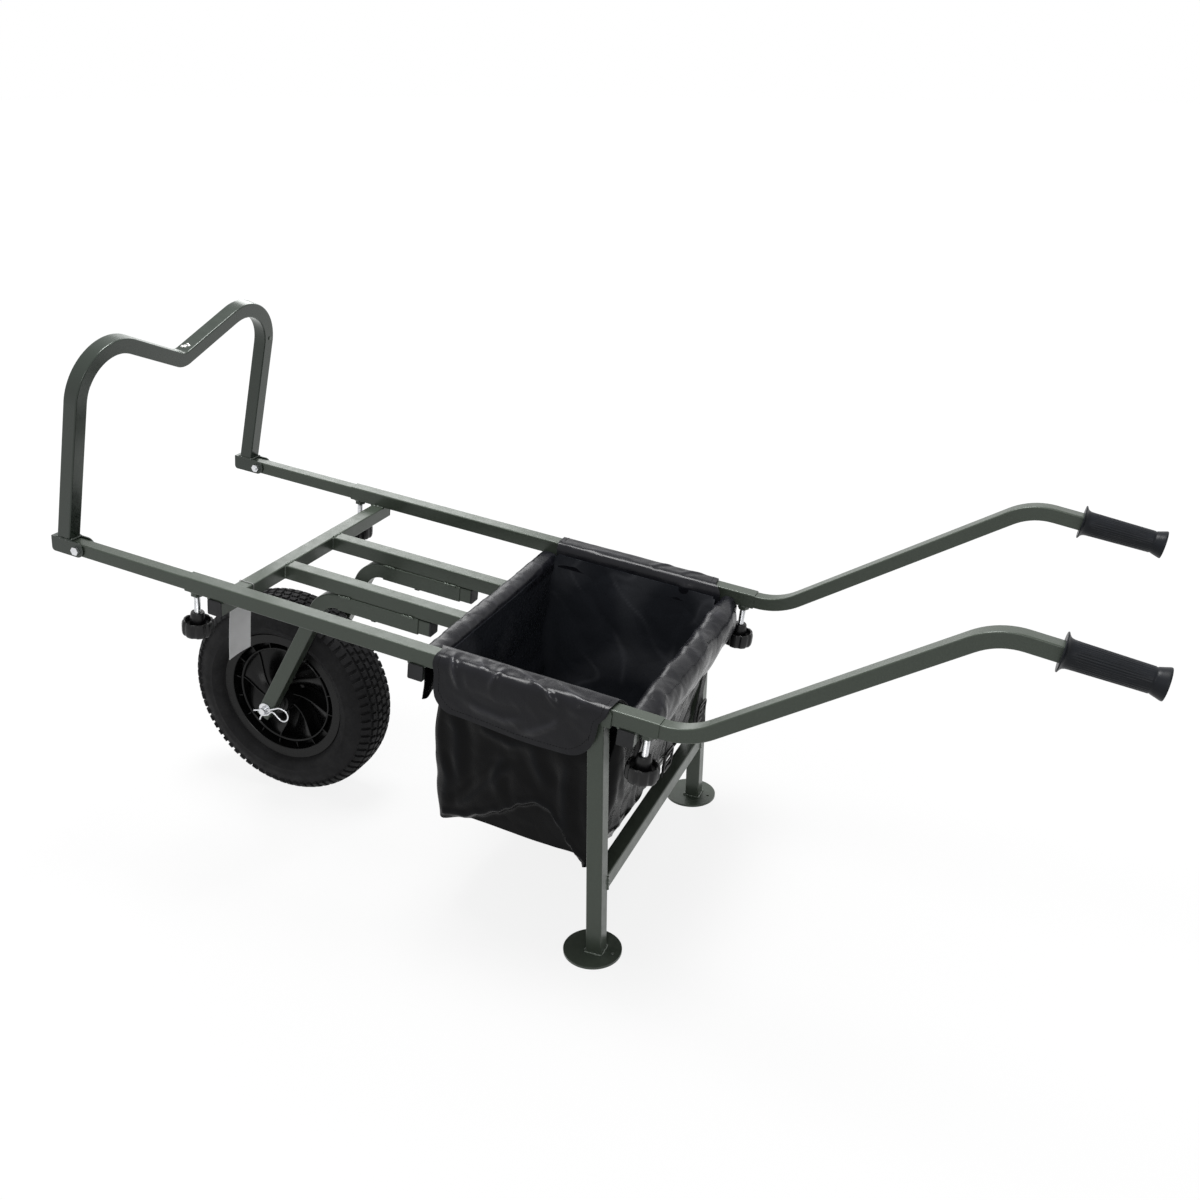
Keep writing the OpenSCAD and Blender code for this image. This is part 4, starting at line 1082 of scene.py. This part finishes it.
class TROLLEY_OT_small_parts(bpy.types.Operator):
    """Fold the blank tag and make the straps, their buckles and the hoop's marks"""
    bl_idname = "trolley.small_parts"
    bl_label = "Tag and Straps"

    def execute(self, context):
        self.tag()
        self.straps()
        self.hoop_plug()
        self.hoop_lumps()
        return {"FINISHED"}

    def tag(self):
        """A blank card with cut corners, on a thin nylon loop round the front crossmember"""
        low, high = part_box("hang_tag")
        top, bottom = -0.0560, (DECK.inverted() @ low).z - 0.009
        middle, half = (low.y + high.y) / 2 - 0.008, 0.028
        rows = []
        for j in range(25):
            t = (j / 24) ** 1.4
            z = top + (bottom - top) * t
            wide = half - max(0.0, 0.011 - (top - z)) * 0.9
            x = 0.0452 - (0.0020 * math.sin(math.pi * t) + 0.0035 * t * t)
            rows.append([Vector((x + 0.0015 * u ** 2, middle + wide * u, z))
                         for u in (2 * k / 8 - 1 for k in range(9))])
        card = thicken(sheet_of("blank_card", rows), 0.0005)
        dress(smooth(card, 40), DECK, "card", "frame", "hang_tag")
        path = [(0.0449, top - 0.0045), (0.0440, -0.045), (0.0441, -0.0262), (0.0456, -0.0242),
                (0.0700, -0.0242), (0.0716, -0.0262), (0.0716, -0.0490), (0.0700, -0.0508),
                (0.0500, -0.0512), (0.0462, top - 0.0045)]
        loop = rounded([(x, middle, z) for x, z in path], 0.0015, 3)
        tie = wire("tag_tie", [loop + [loop[0]]], 0.0005)
        dress(smooth(tie, 60), DECK, "tie", "frame")

    def straps(self):
        """Two hanging tapes behind the bag, each with its buckle"""
        tape_x, top, hang = 0.7635, -0.052, 0.127
        wide, thick = 0.025, 0.0018
        tapes = []
        buckles = []
        for y, sway_from, twisted in ((-0.095, 0, -0.6), (0.070, 2, 1)):
            rows = []
            for k in range(31):
                t = k / 30
                sway = 0.004 * math.sin(t * 5 + sway_from)
                twist = 0.55 * ease((t - 0.55) / 0.45) * twisted
                rows.append([Vector((tape_x + sway * t + across * math.sin(twist) + 0.004 * t,
                                     y + across * math.cos(twist), top - hang * t))
                             for across in ((j / 5 - 0.5) * wide for j in range(6))])
            tapes.append(thicken(sheet_of("tape", rows), thick))
            buckles.append(self.buckle(tape_x + 0.0055, y, top - 0.099))
        for parts, name, look, node in ((tapes, "hanging_straps", "webbing", "bag_straps"),
                                        (buckles, "ladder_buckles", "buckle_plastic", "bag_buckles")):
            dress(smooth(join(parts, name), 40), DECK, look, "frame", node)

    def buckle(self, x, y, z):
        """A ladder buckle: a rounded frame with two bars across"""
        w, h = 0.0150, 0.0160
        corners = [Vector((x, y - w, z - h)), Vector((x + 0.001, y + w, z - h)),
                   Vector((x + 0.001, y + w, z + h)), Vector((x, y - w, z + h))]
        middle = (corners[0] + corners[1]) / 2
        loop = rounded([middle, *corners[1:], corners[0], middle], 0.005, 4)
        bars = [[Vector((x, y - w, z + d)), Vector((x, y + w, z + d))] for d in (-0.005, 0.006)]
        return join([wire("buckle", [loop], 0.0022), wire("bars", bars, 0.0017)], "buckle")

    def hoop_plug(self):
        """A small plug in the far upright, where the photographed one has its own"""
        deselect()
        bpy.ops.mesh.primitive_uv_sphere_add(segments=24, ring_count=12, radius=0.0036, location=(0, 0, 0))
        plug = place(named("hoop_plug"), Matrix.Diagonal((0.35, 1, 1, 1)))
        height = 0.243
        spot = DECK @ Vector((HOOP_X + TUBE / 2 + height * math.tan(HOOP_LEAN), RAIL_Y, height))
        there = (Matrix.Translation((spot.x + 0.0006, spot.y, spot.z))
                 @ Matrix.Rotation(HOOP_LEAN + TILT, 4, "Y"))
        dress(smooth(plug, 60), there, "weld_paint", "hoop")

    def hoop_lumps(self):
        """Bare lumps of weld on the far slope of the hoop's notch"""
        hoop = cad_nodes["hoop_tube"]
        fold = [v.co for v in hoop.data.vertices if abs(v.co.y) < 0.006]
        top = max(p.z for p in fold)
        upper = [p.x for p in fold if p.z > top - 0.006]
        middle = (min(upper) + max(upper)) / 2
        lumps = []
        for number, (dx, y, size) in enumerate(((0.000, 0.0150, 0.0036), (0.0045, 0.0190, 0.0026),
                                                (-0.0040, 0.0120, 0.0028), (0.0005, 0.0215, 0.0020))):
            deselect()
            bpy.ops.mesh.primitive_ico_sphere_add(subdivisions=3, radius=size)
            lump = named("lump")
            for v in lump.data.vertices:
                v.co *= 1 + 0.28 * noise.noise(v.co * 420 + Vector((number, 0, 0)))
                v.co.z *= 0.45
            from_above = Vector((middle + dx, y, top + 0.2))
            spot, normal = hoop.ray_cast(from_above, Vector((0, 0, -1)))[1:3]
            turned = normal.to_track_quat("Z", "Y").to_matrix().to_4x4()
            lumps.append(place(lump, Matrix.Translation(spot) @ turned))
        dress(smooth(join(lumps, "hoop_weld_lumps"), 60), AS_IT_IS, "bare_weld", "hoop")


class TROLLEY_OT_bag(bpy.types.Operator):
    """Build the bag as cloth: its walls and floor, two flaps and two sleeves"""
    bl_idname = "trolley.bag"
    bl_label = "Bag"

    def execute(self, context):
        s = settings(context, "bag")
        self.cell = s.cell
        self.fold = s.fold
        walls = self.walls()
        covers = [self.flap("near"), self.flap("far"), self.front_sleeve(), self.rear_sleeve()]
        ends = [self.sleeve_end(-1), self.sleeve_end(1)]
        for piece in [walls] + covers + ends:
            count = len(piece.data.vertices)
            thicken(piece, CLOTH, -1)
            if piece is walls:
                # The inner side's points, which the thickness adds, get a painted sheen in the crease attribute
                marks = piece.data.attributes["crease"].data
                for point in list(piece.data.vertices)[count:]:
                    marks[point.index].value = self.inner_painted_sheen(*point.co)
            smooth(piece, 70)
        stitches = self.stitches()
        cover = join(covers, "bag_covers")
        loose = join(ends, "bag_sleeve_ends")
        dress(walls, DECK, "bag_cloth", "frame", "bag")
        dress(loose, DECK, "bag_cloth", "frame")
        dress(cover, DECK, "flap_cloth", "frame")
        dress(stitches, DECK, "thread", "frame")
        for piece in (walls, loose):
            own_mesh(piece)
        return {"FINISHED"}

    def patch(self, name, rows, centre, closed=False):
        """Cloth from rows of (point, strength of its painted crease highlight), its outer side away from a centre
        """
        wide = len(rows[0])
        faces = []
        for j in range(0, (len(rows) - 1) * wide, wide):
            for i in range(wide if closed else wide - 1):
                k = (i + 1) % wide
                faces.append((j + i, j + k, j + wide + k, j + wide + i))
        mesh = bpy.data.meshes.new(name)
        mesh.from_pydata([spot for row in rows for spot, white in row], [], faces)
        # Painted light: the strength of the crease highlights, as an attribute that the cloth finish reads
        painted_highlight = mesh.attributes.new("crease", "FLOAT", "POINT")
        painted_highlight.data.foreach_set("value", [white for row in rows for spot, white in row])
        piece = bpy.data.objects.new(name, mesh)
        bpy.context.scene.collection.objects.link(piece)
        if closed:
            tidy_mesh(piece, 0.00002)
        if sum((face.center - Vector(centre)).dot(face.normal) * face.area for face in mesh.polygons) < 0:
            mesh.flip_normals()
        return piece

    def outline(self, height):
        """Points round the bag at a height: near side from front to rear, rear, far side, front"""
        front, rear, half, r = (table_mm(height, line)
                                for line in (WALL_FRONT, WALL_REAR, WALL_HALF, WALL_CORNER))
        count_x, count_y = int(0.29 / self.cell), int(0.42 / self.cell)
        sides = [
            ("near", (front + r, -half), (rear - r, -half), count_x, (rear - r, -half + r)),
            ("rear", (rear, -half + r), (rear, half - r), count_y, (rear - r, half - r)),
            ("far", (rear - r, half), (front + r, half), count_x, (front + r, half - r)),
            ("front", (front, half - r), (front, -half + r), count_y, (front + r, -half + r)),
        ]
        corner = 6
        out = []
        for side, a, b, count, centre in sides:
            a, b, centre = Vector((*a, 0)), Vector((*b, 0)), Vector((*centre, 0))
            normal = Vector(((b - a).y, -(b - a).x, 0)).normalized()
            for k in range(count):
                out.append((a.lerp(b, k / (count - 1)), normal, side))
            turn_from = math.atan2(normal.y, normal.x)
            for k in range(1, corner):
                angle = turn_from + math.pi / 2 * k / corner
                way = Vector((math.cos(angle), math.sin(angle), 0))
                out.append((centre + way * r, way, "corner"))
        return out

    def walls(self):
        """The walls as one band, and the floor as rings that close on its middle"""
        levels = int(0.292 / self.cell)
        rows = []
        for j in range(levels + 1):
            t = j / levels
            height = WALL_TOP + (WALL_FOOT - WALL_TOP) * t
            rows.append([self.wall_spot(t, height, *base) for base in self.outline(height)])
        foot = [spot for spot, white in rows[-1]]
        centre = Vector((0.572, 0, FLOOR_Z))
        rings = 14
        for k in range(1, rings + 1):
            t = k / rings
            row = []
            for spot in foot:
                flat = spot.lerp(centre, t)
                lump = ripple(flat.x * 19, flat.y * 15, 2.0) * 0.0045 * ease(t * 3)
                drop = (spot.z - FLOOR_Z) * (1 - ease(t * 2.4))
                flat.z = FLOOR_Z + drop + lump + 0.0012 * ease(t * 5)
                row.append((flat, 0.0))
            rows.append(row)
        return self.patch("bag_walls", rows, (0.58, 0, -0.15), closed=True)

    def wall_spot(self, t, height, base, normal, side):
        """A point of the walls, t of the way down, and the strength of its painted crease highlight"""
        hem = 0.0
        if side == "near":
            hem = table_mm(base.x, NEAR_HEM)
        elif side == "corner":
            hem = -0.007
        elif side == "rear":
            hem = 0.004 * math.sin(base.y * 31) - 0.002
        z = height - LOW_TOP[side] * (1 - t) ** 3 + hem * ease((t - 0.55) / 0.45)
        out, white = self.puff(base.x, base.y, z, side)
        if side in ("near", "far") and z > -0.040:
            out = min(out, 0.0006) * 0.3
        if side == "corner":
            out *= 0.5
        return Vector((base.x, base.y, z)) + normal * out, white

    def puff(self, x, y, z, side):
        """How far the cloth stands out at a spot of the wall, and how strong the painted highlight on its crease
        is
        """
        depth = ease((-0.028 - z) / 0.05)
        soft = ripple(x * 7.5 + 3.1, y * 7.5 + 7.7, z * 3.6 + 1.3) * self.fold * 1.5
        ridge = (ridged(x * 12 + z * 6, y * 12 + z * 5, z * 7) - 0.45) * self.fold * 0.34
        fine = ripple(x * 40, y * 40, z * 32) * 0.0003
        out = (soft + ridge + fine) * (0.35 + 0.65 * depth)
        white = 0.0
        if side == "near":
            for crease in WALL_CREASES:
                k, rise = fold_line(Vector((x, z)), crease)
                out += rise * 0.7
                # Painted highlight along the crease's ridge
                white = max(white, 0.3 * k ** 3)
            below = table_mm(x, ARCH) - z
            out -= 0.010 * ease(below / 0.012) * ease((x - 0.455) / 0.04) * ease((0.712 - x) / 0.03)
            edge = bell(below + 0.004, 0.0045)
            out += 0.0036 * edge + 0.004 * bell(z + 0.118, 0.03) * ease((x - 0.46) / 0.06)
            # Painted highlight along the arch's crest
            white = max(white, 0.2 * edge)
        if side == "rear":
            k = ridged(y * 17 + z * 6, z * 8, 5.0)
            out += (k - 0.4) * 0.0050 * depth
            # Painted highlight on the rear wall's sharpest ridges
            white = 0.35 * max(0.0, k - 0.8) / 0.2
        return out, white

    def inner_painted_sheen(self, x, y, z):
        """Painted sheen of the bag's inner side: paler all over, with soft patches and a few sharp wrinkles of
        painted highlight
        """
        broad = ripple(x * 9, y * 9, z * 8 + 4.0)
        wrinkle_glint = ease((ridged(x * 13 + z * 9, y * 12 + z * 7, z * 10) - 0.8) / 0.2)
        return 1.2 + 0.45 * ease((broad + 0.02) / 0.42) + 0.35 * wrinkle_glint * ease((broad + 0.15) / 0.3)

    def flap_spot(self, name, x, section, lift=0.0):
        """A point of a flap at x and a point of its section, and the strength of its painted crease highlight"""
        a, z, run = section
        side = -1 if name == "near" else 1
        outer = ease((a - 0.250) / 0.008)
        outside = outer > 0.5
        way = Vector((0, side * outer, 1 - outer)).normalized()
        if a < 0.2150:
            way = Vector((0, -side, 0))
        u = z if outside else 0.0035 + (0.2590 - a)
        rise = white = 0.0
        for crease in FLAP_CREASES[name]:
            k, height = fold_line(Vector((x, u)), crease)
            rise += height
            # Painted highlight along the crease's ridge
            white = max(white, 0.45 * max(0.0, k) ** 4)
        shift = 0.37 if name == "far" else 0.0
        soft = ripple(x * 11 + shift, u * 18, 4.0 + side) * 0.0018
        ridge = (ridged(x * 24 + u * 9, u * 30 + x * 6, 9.0 + side) - 0.5) * 0.0006
        fine = ripple(x * 60, u * 60, side) * 0.0001
        free = 0.3 + 0.7 * ease(-z / 0.03) if outside else 0.3
        rise = max(0.0, rise * (1.0 if outside else 0.45) + (soft + ridge) * free + fine + 0.0006)
        rise += 0.0030 * bell(x - 0.671, 0.011) * bell(z + 0.0125, 0.010)
        flare = 0.0012 * ease((-0.05 - z) / 0.04) * outer
        return Vector((x, side * a, z)) + way * (rise + flare + lift), white

    def flap_x(self, name, u, part):
        """Where u of the way from a flap's front edge to its rear lies, at a part of its section"""
        front, rear = (table(part, edge) / 1000 for edge in FLAP_EDGES[name])
        return front + (rear - front) * u

    def hem_run(self, u, total):
        """How long a flap is at u, with its round corners and its wavy hem"""
        near_end = min(1.0, min(u, 1 - u) * 0.26 / FLAP_CORNER)
        short = FLAP_CORNER * (1 - math.sqrt(1 - (1 - near_end) ** 2))
        dip = 0.006 * ease((0.5 - abs(u - 0.62)) / 0.5) - 0.004
        return total - short - 0.006 + dip

    def flap(self, name):
        """A flap over a rail, hanging on its outer side"""
        wide = int(0.285 / self.cell * 1.6) + 1
        sections = along_line(FLAP, int(0.19 / self.cell * 1.7))
        total = sections[-1][2]
        rows = []
        for i in range(wide + 1):
            u = i / wide
            row = []
            for a, z, run in sections:
                pulled = run * self.hem_run(u, total) / total
                section = section_at(sections, pulled)
                row.append(self.flap_spot(name, self.flap_x(name, u, pulled / total), section))
            rows.append(row)
        return self.patch("flap_" + name, rows, (0.58, -RAIL_Y if name == "near" else RAIL_Y, -0.03))

    def front_sleeve(self):
        """The sleeve over the middle crossmember, open round the two deck bars"""
        wide = int(0.42 / self.cell)
        sections = along_line(FRONT_SLEEVE, int(0.088 / (self.cell * 0.8)))
        rows = [[self.front_spot(x, -0.2220 + 0.4440 * i / wide, z) for x, z, run in sections]
                for i in range(wide + 1)]
        piece = self.patch("front_sleeve", rows, (0.414, 0, -0.045))

        def at_a_bar(face):
            spot = face.calc_center_median()
            return 0.0555 < abs(spot.y) < 0.0865 and spot.x < 0.404 and spot.z < -0.0222

        pick(piece, "FACE", at_a_bar)
        bpy.ops.mesh.delete(type="FACE")
        bpy.ops.object.mode_set(mode="OBJECT")
        return piece

    def front_spot(self, x, y, z):
        """A point of the front sleeve, and the strength of its painted crease highlight"""
        k = ridged(x * 16 + y * 4, y * 30, z * 18 + 3)
        rise = 0.0012 + ripple(x * 20, y * 24, z * 20) * 0.0016 + (k - 0.5) * 0.0010
        rise += ripple(x * 60, y * 60, z * 60) * 0.0001
        if z < -0.03 and x < 0.41:
            way = Vector((-1, 0, 0))
        elif x > 0.4285:
            way = Vector((0.3, 0, 0))
        else:
            way = Vector((-0.2, 0, 1)).normalized()
        spot = Vector((x, y, z)) + way * max(0.0002, rise)
        if x < 0.41:
            spot.z += 0.007 * ripple(y * 13, 2.5, 0.5) * ease((-0.05 - z) / 0.02)
        # Painted highlight on the sleeve's sharpest ridges
        return spot, 0.3 * max(0.0, k - 0.86) / 0.14

    def sleeve_end(self, side):
        """Loose cloth that hangs from the front sleeve's end, behind the crossmember's end"""
        sections = along_line(SLEEVE_END, 20)
        rows = []
        for i in range(15):
            u = i / 14
            low = 0.003 * math.sin(u * 7) - 0.002
            row = []
            for x, z, run in sections:
                rise = ripple(u * 2.5, z * 40, side * 3) * 0.0016 * ease((-0.030 - z) / 0.02)
                row.append((Vector((x + max(0.0, rise), side * (0.2040 + 0.0455 * u),
                                    z + low * ease((-0.035 - z) / 0.045))), 0.0))
            rows.append(row)
        return self.patch("sleeve_end", rows, (0.414, side * 0.227, -0.045))

    def rear_sleeve(self):
        """The fat sleeve over the rear crossmember, with its loose hem"""
        wide = int(0.42 / (self.cell * 0.85))
        sections = along_line(REAR_SLEEVE, int(0.115 / (self.cell * 0.8)))
        total = sections[-1][2]
        rows = [[self.rear_spot(x, -0.2235 + 0.4470 * i / wide, z, run / total) for x, z, run in sections]
                for i in range(wide + 1)]
        return self.patch("rear_sleeve", rows, (0.748, 0, -0.040))

    def rear_spot(self, x, y, z, t):
        """A point of the rear sleeve, t of the way round it, and the strength of its painted crease highlight"""
        core = Vector((0.7480, 0, -0.0400))
        belly = math.sin(math.pi * min(1, t * 1.1)) if t < 0.9 else 0.2
        k = ridged(y * 15 + t * 1.6, t * 2.2 + y * 5, 1.7)
        rise = (k - 0.5) * 0.0036 + (ridged(y * 48, t * 5.5, 8.1) - 0.5) * 0.0004
        rise += ripple(y * 16, t * 2, 6.0) * 0.0026
        if t < 0.16:
            rise *= t / 0.16 * 0.6
        way = Vector((x - core.x, 0, z - core.z)).normalized()
        spot = Vector((x, y, z)) + way * rise * (0.35 + 0.65 * belly)
        if spot.x > core.x + 0.012:
            spot.x = core.x + (spot.x - core.x) * (1 - 0.40 * bell(abs(y) - 0.2235, 0.020))
        spot.z += (0.010 * ripple(y * 14, 0.5, 0.5) - 0.004) * ease((t - 0.7) / 0.3)
        # Painted highlight on the sharpest ridges, weaker on the last quarter of the way round
        return spot, 0.3 * ease((k - 0.86) / 0.14) * (1 if t < 0.75 else 0.3)

    def stitches(self):
        """Hem stitching of both flaps, a stitch every few millimetres"""
        sections = along_line(FLAP, 60)
        total = sections[-1][2]
        runs = [total * 0.30 + (total * 0.70 - 0.036) * k / 39 for k in range(40)]
        hem = [(k / 119, self.hem_run(k / 119, total)) for k in range(120)]
        lane = [(0.0, run) for run in runs] + hem + [(1.0, run) for run in reversed(runs)]
        paths = []
        for name in ("near", "far"):
            spots = []
            for u, run in lane:
                pull_x = HEM_INSET * ease(abs(u - 0.5) * 8 - 2.6) * (1 if u < 0.5 else -1)
                pull_run = HEM_INSET if 0.02 < u < 0.98 or run > total - 0.04 else 0.0
                section = section_at(sections, run - pull_run)
                x = self.flap_x(name, u, run / total) + pull_x
                spots.append(self.flap_spot(name, x, section, 0.0003)[0])
            paths += self.dashes(spots, 0.0032, 0.0016)
        return wire("hem_stitching", paths, 0.00042, 4)

    def dashes(self, spots, length, gap):
        """Short runs along a line of points"""
        out = [[]]
        run = 0.0
        for a, b in zip(spots, spots[1:]):
            steps = max(1, int((b - a).length / 0.0008))
            for k in range(steps):
                if run % (length + gap) < length:
                    out[-1].append(a.lerp(b, k / steps))
                elif out[-1]:
                    out.append([])
                run += (b - a).length / steps
        return [dash for dash in out if len(dash) > 1]


class TROLLEY_OT_stage(bpy.types.Operator):
    """Set the pale floor, the soft light and the camera of the photograph"""
    bl_idname = "trolley.stage"
    bl_label = "Stage"

    def execute(self, context):
        s = settings(context, "stage")
        deselect()
        bpy.ops.mesh.primitive_circle_add(vertices=96, radius=40, fill_type="NGON", location=(0, 0, 0))
        floor = named("floor")
        floor.data.materials.append(self.floor_finish())
        self.world(context, s.ambient)
        self.softbox("Overhead", (-0.35, 0.25, 3.05), (0, 0, 0.4), 1.15, s.key)
        self.softbox("Front", (0.95, -3.1, 2.3), (0.1, 0, 0.35), 1.2, s.key * 0.24)
        self.softbox("Rear", (-1.7, 2.5, 1.9), (0, 0, 0.4), 1.2, s.key * 0.16)
        self.camera(context)
        context.scene.view_settings.view_transform = "Standard"
        return {"FINISHED"}

    def floor_finish(self):
        """A grey floor for the light, which the camera sees as nearly white with a faint shadow"""
        finish = bpy.data.materials.new("Pale Floor")
        finish.use_nodes = True
        nodes = Nodes(finish.node_tree)
        matt = nodes.add("BsdfDiffuse", {"Color": (0.42, 0.42, 0.42, 1)})[0]
        pale = nodes.add("BsdfDiffuse", {"Color": (0.105, 0.105, 0.105, 1)})[0]
        reach = nodes.add("VectorMath", {0: nodes.add("TexCoord")["Object"]}, operation="LENGTH")["Value"]
        strength = nodes.span(reach, 0.0, 3.0, 0.845, 0.98)
        glow = nodes.add("Emission", {"Color": (1, 1, 1, 1), "Strength": strength})[0]
        shown = nodes.add("AddShader", {0: pale, 1: glow})[0]
        mix = nodes.add("MixShader", {0: nodes.seen(), 1: matt, 2: shown})[0]
        nodes.add("OutputMaterial", {0: mix})
        return finish

    def world(self, context, ambient):
        """Soft light from all round, and a white background"""
        world = bpy.data.worlds.new("Studio")
        context.scene.world = world
        world.use_nodes = True
        nodes = Nodes(world.node_tree)
        light, back = (nodes.add("Background", {"Color": (1, 1, 1, 1), "Strength": strength})[0]
                       for strength in (ambient, 1.0))
        mix = nodes.add("MixShader", {0: nodes.seen(), 1: light, 2: back})[0]
        nodes.add("OutputWorld", {0: mix})

    def softbox(self, name, spot, aim, size, power):
        """A square area light that faces its aim"""
        data = bpy.data.lights.new(name, "AREA")
        data.shape = "SQUARE"
        data.size = size
        data.energy = power
        lamp = bpy.data.objects.new(name, data)
        bpy.context.scene.collection.objects.link(lamp)
        lamp.location = spot
        lamp.rotation_euler = (Vector(aim) - Vector(spot)).to_track_quat("-Z", "Y").to_euler()

    def camera(self, context):
        """The photograph's camera, solved from the rails and the wheel"""
        data = bpy.data.cameras.new("Photograph")
        data.lens = 37.214
        data.sensor_width = 36
        data.shift_x = 0.01652
        data.shift_y = -0.00413
        data.clip_end = 200
        camera = bpy.data.objects.new("Photograph", data)
        context.scene.collection.objects.link(camera)
        look = Vector((-0.356221, 0.844612, -0.399671)).normalized()
        right = Vector((0.920945, 0.389683, 0.002680))
        right = (right - look * right.dot(look)).normalized()
        turned = Matrix((right, right.cross(look), -look)).transposed().to_4x4()
        camera.matrix_world = Matrix.Translation((0.693686, -1.64647, 1.254015)) @ turned
        context.scene.camera = camera


PIECES = (
    TROLLEY_OT_frame_finish, TROLLEY_OT_tyre, TROLLEY_OT_rim, TROLLEY_OT_axle_clips, TROLLEY_OT_grips,
    TROLLEY_OT_knobs, TROLLEY_OT_welds, TROLLEY_OT_small_parts, TROLLEY_OT_bag, TROLLEY_OT_stage,
)


class TROLLEY_PT_pieces(bpy.types.Panel):
    """Sizes, colours and buttons for the trolley's pieces"""
    bl_idname = "TROLLEY_PT_pieces"
    bl_label = "Fishing Trolley"
    bl_space_type = "VIEW_3D"
    bl_region_type = "UI"
    bl_category = "Trolley"

    def draw(self, context):
        layout = self.layout
        for name, group in SETTINGS:
            box = layout.box()
            box.label(text=name.title())
            for key in group.__annotations__:
                box.prop(settings(context, name), key)
        for operator in PIECES:
            layout.operator(operator.bl_idname)


CLASSES = tuple(group for name, group in SETTINGS) + PIECES + (TROLLEY_PT_pieces,)


def register():
    for cls in CLASSES:
        bpy.utils.register_class(cls)
    for name, group in SETTINGS:
        setattr(bpy.types.Scene, "trolley_" + name, bpy.props.PointerProperty(type=group))


def unregister():
    for name, group in SETTINGS:
        delattr(bpy.types.Scene, "trolley_" + name)
    for cls in reversed(CLASSES):
        bpy.utils.unregister_class(cls)


def main():
    register()
    bpy.ops.trolley.frame_finish()
    bpy.ops.trolley.tyre()
    bpy.ops.trolley.rim()
    bpy.ops.trolley.axle_clips()
    bpy.ops.trolley.grips()
    bpy.ops.trolley.knobs()
    bpy.ops.trolley.welds()
    bpy.ops.trolley.small_parts()
    bpy.ops.trolley.bag()
    bpy.ops.trolley.stage()
    deselect()


if __name__ == "__main__":
    main()
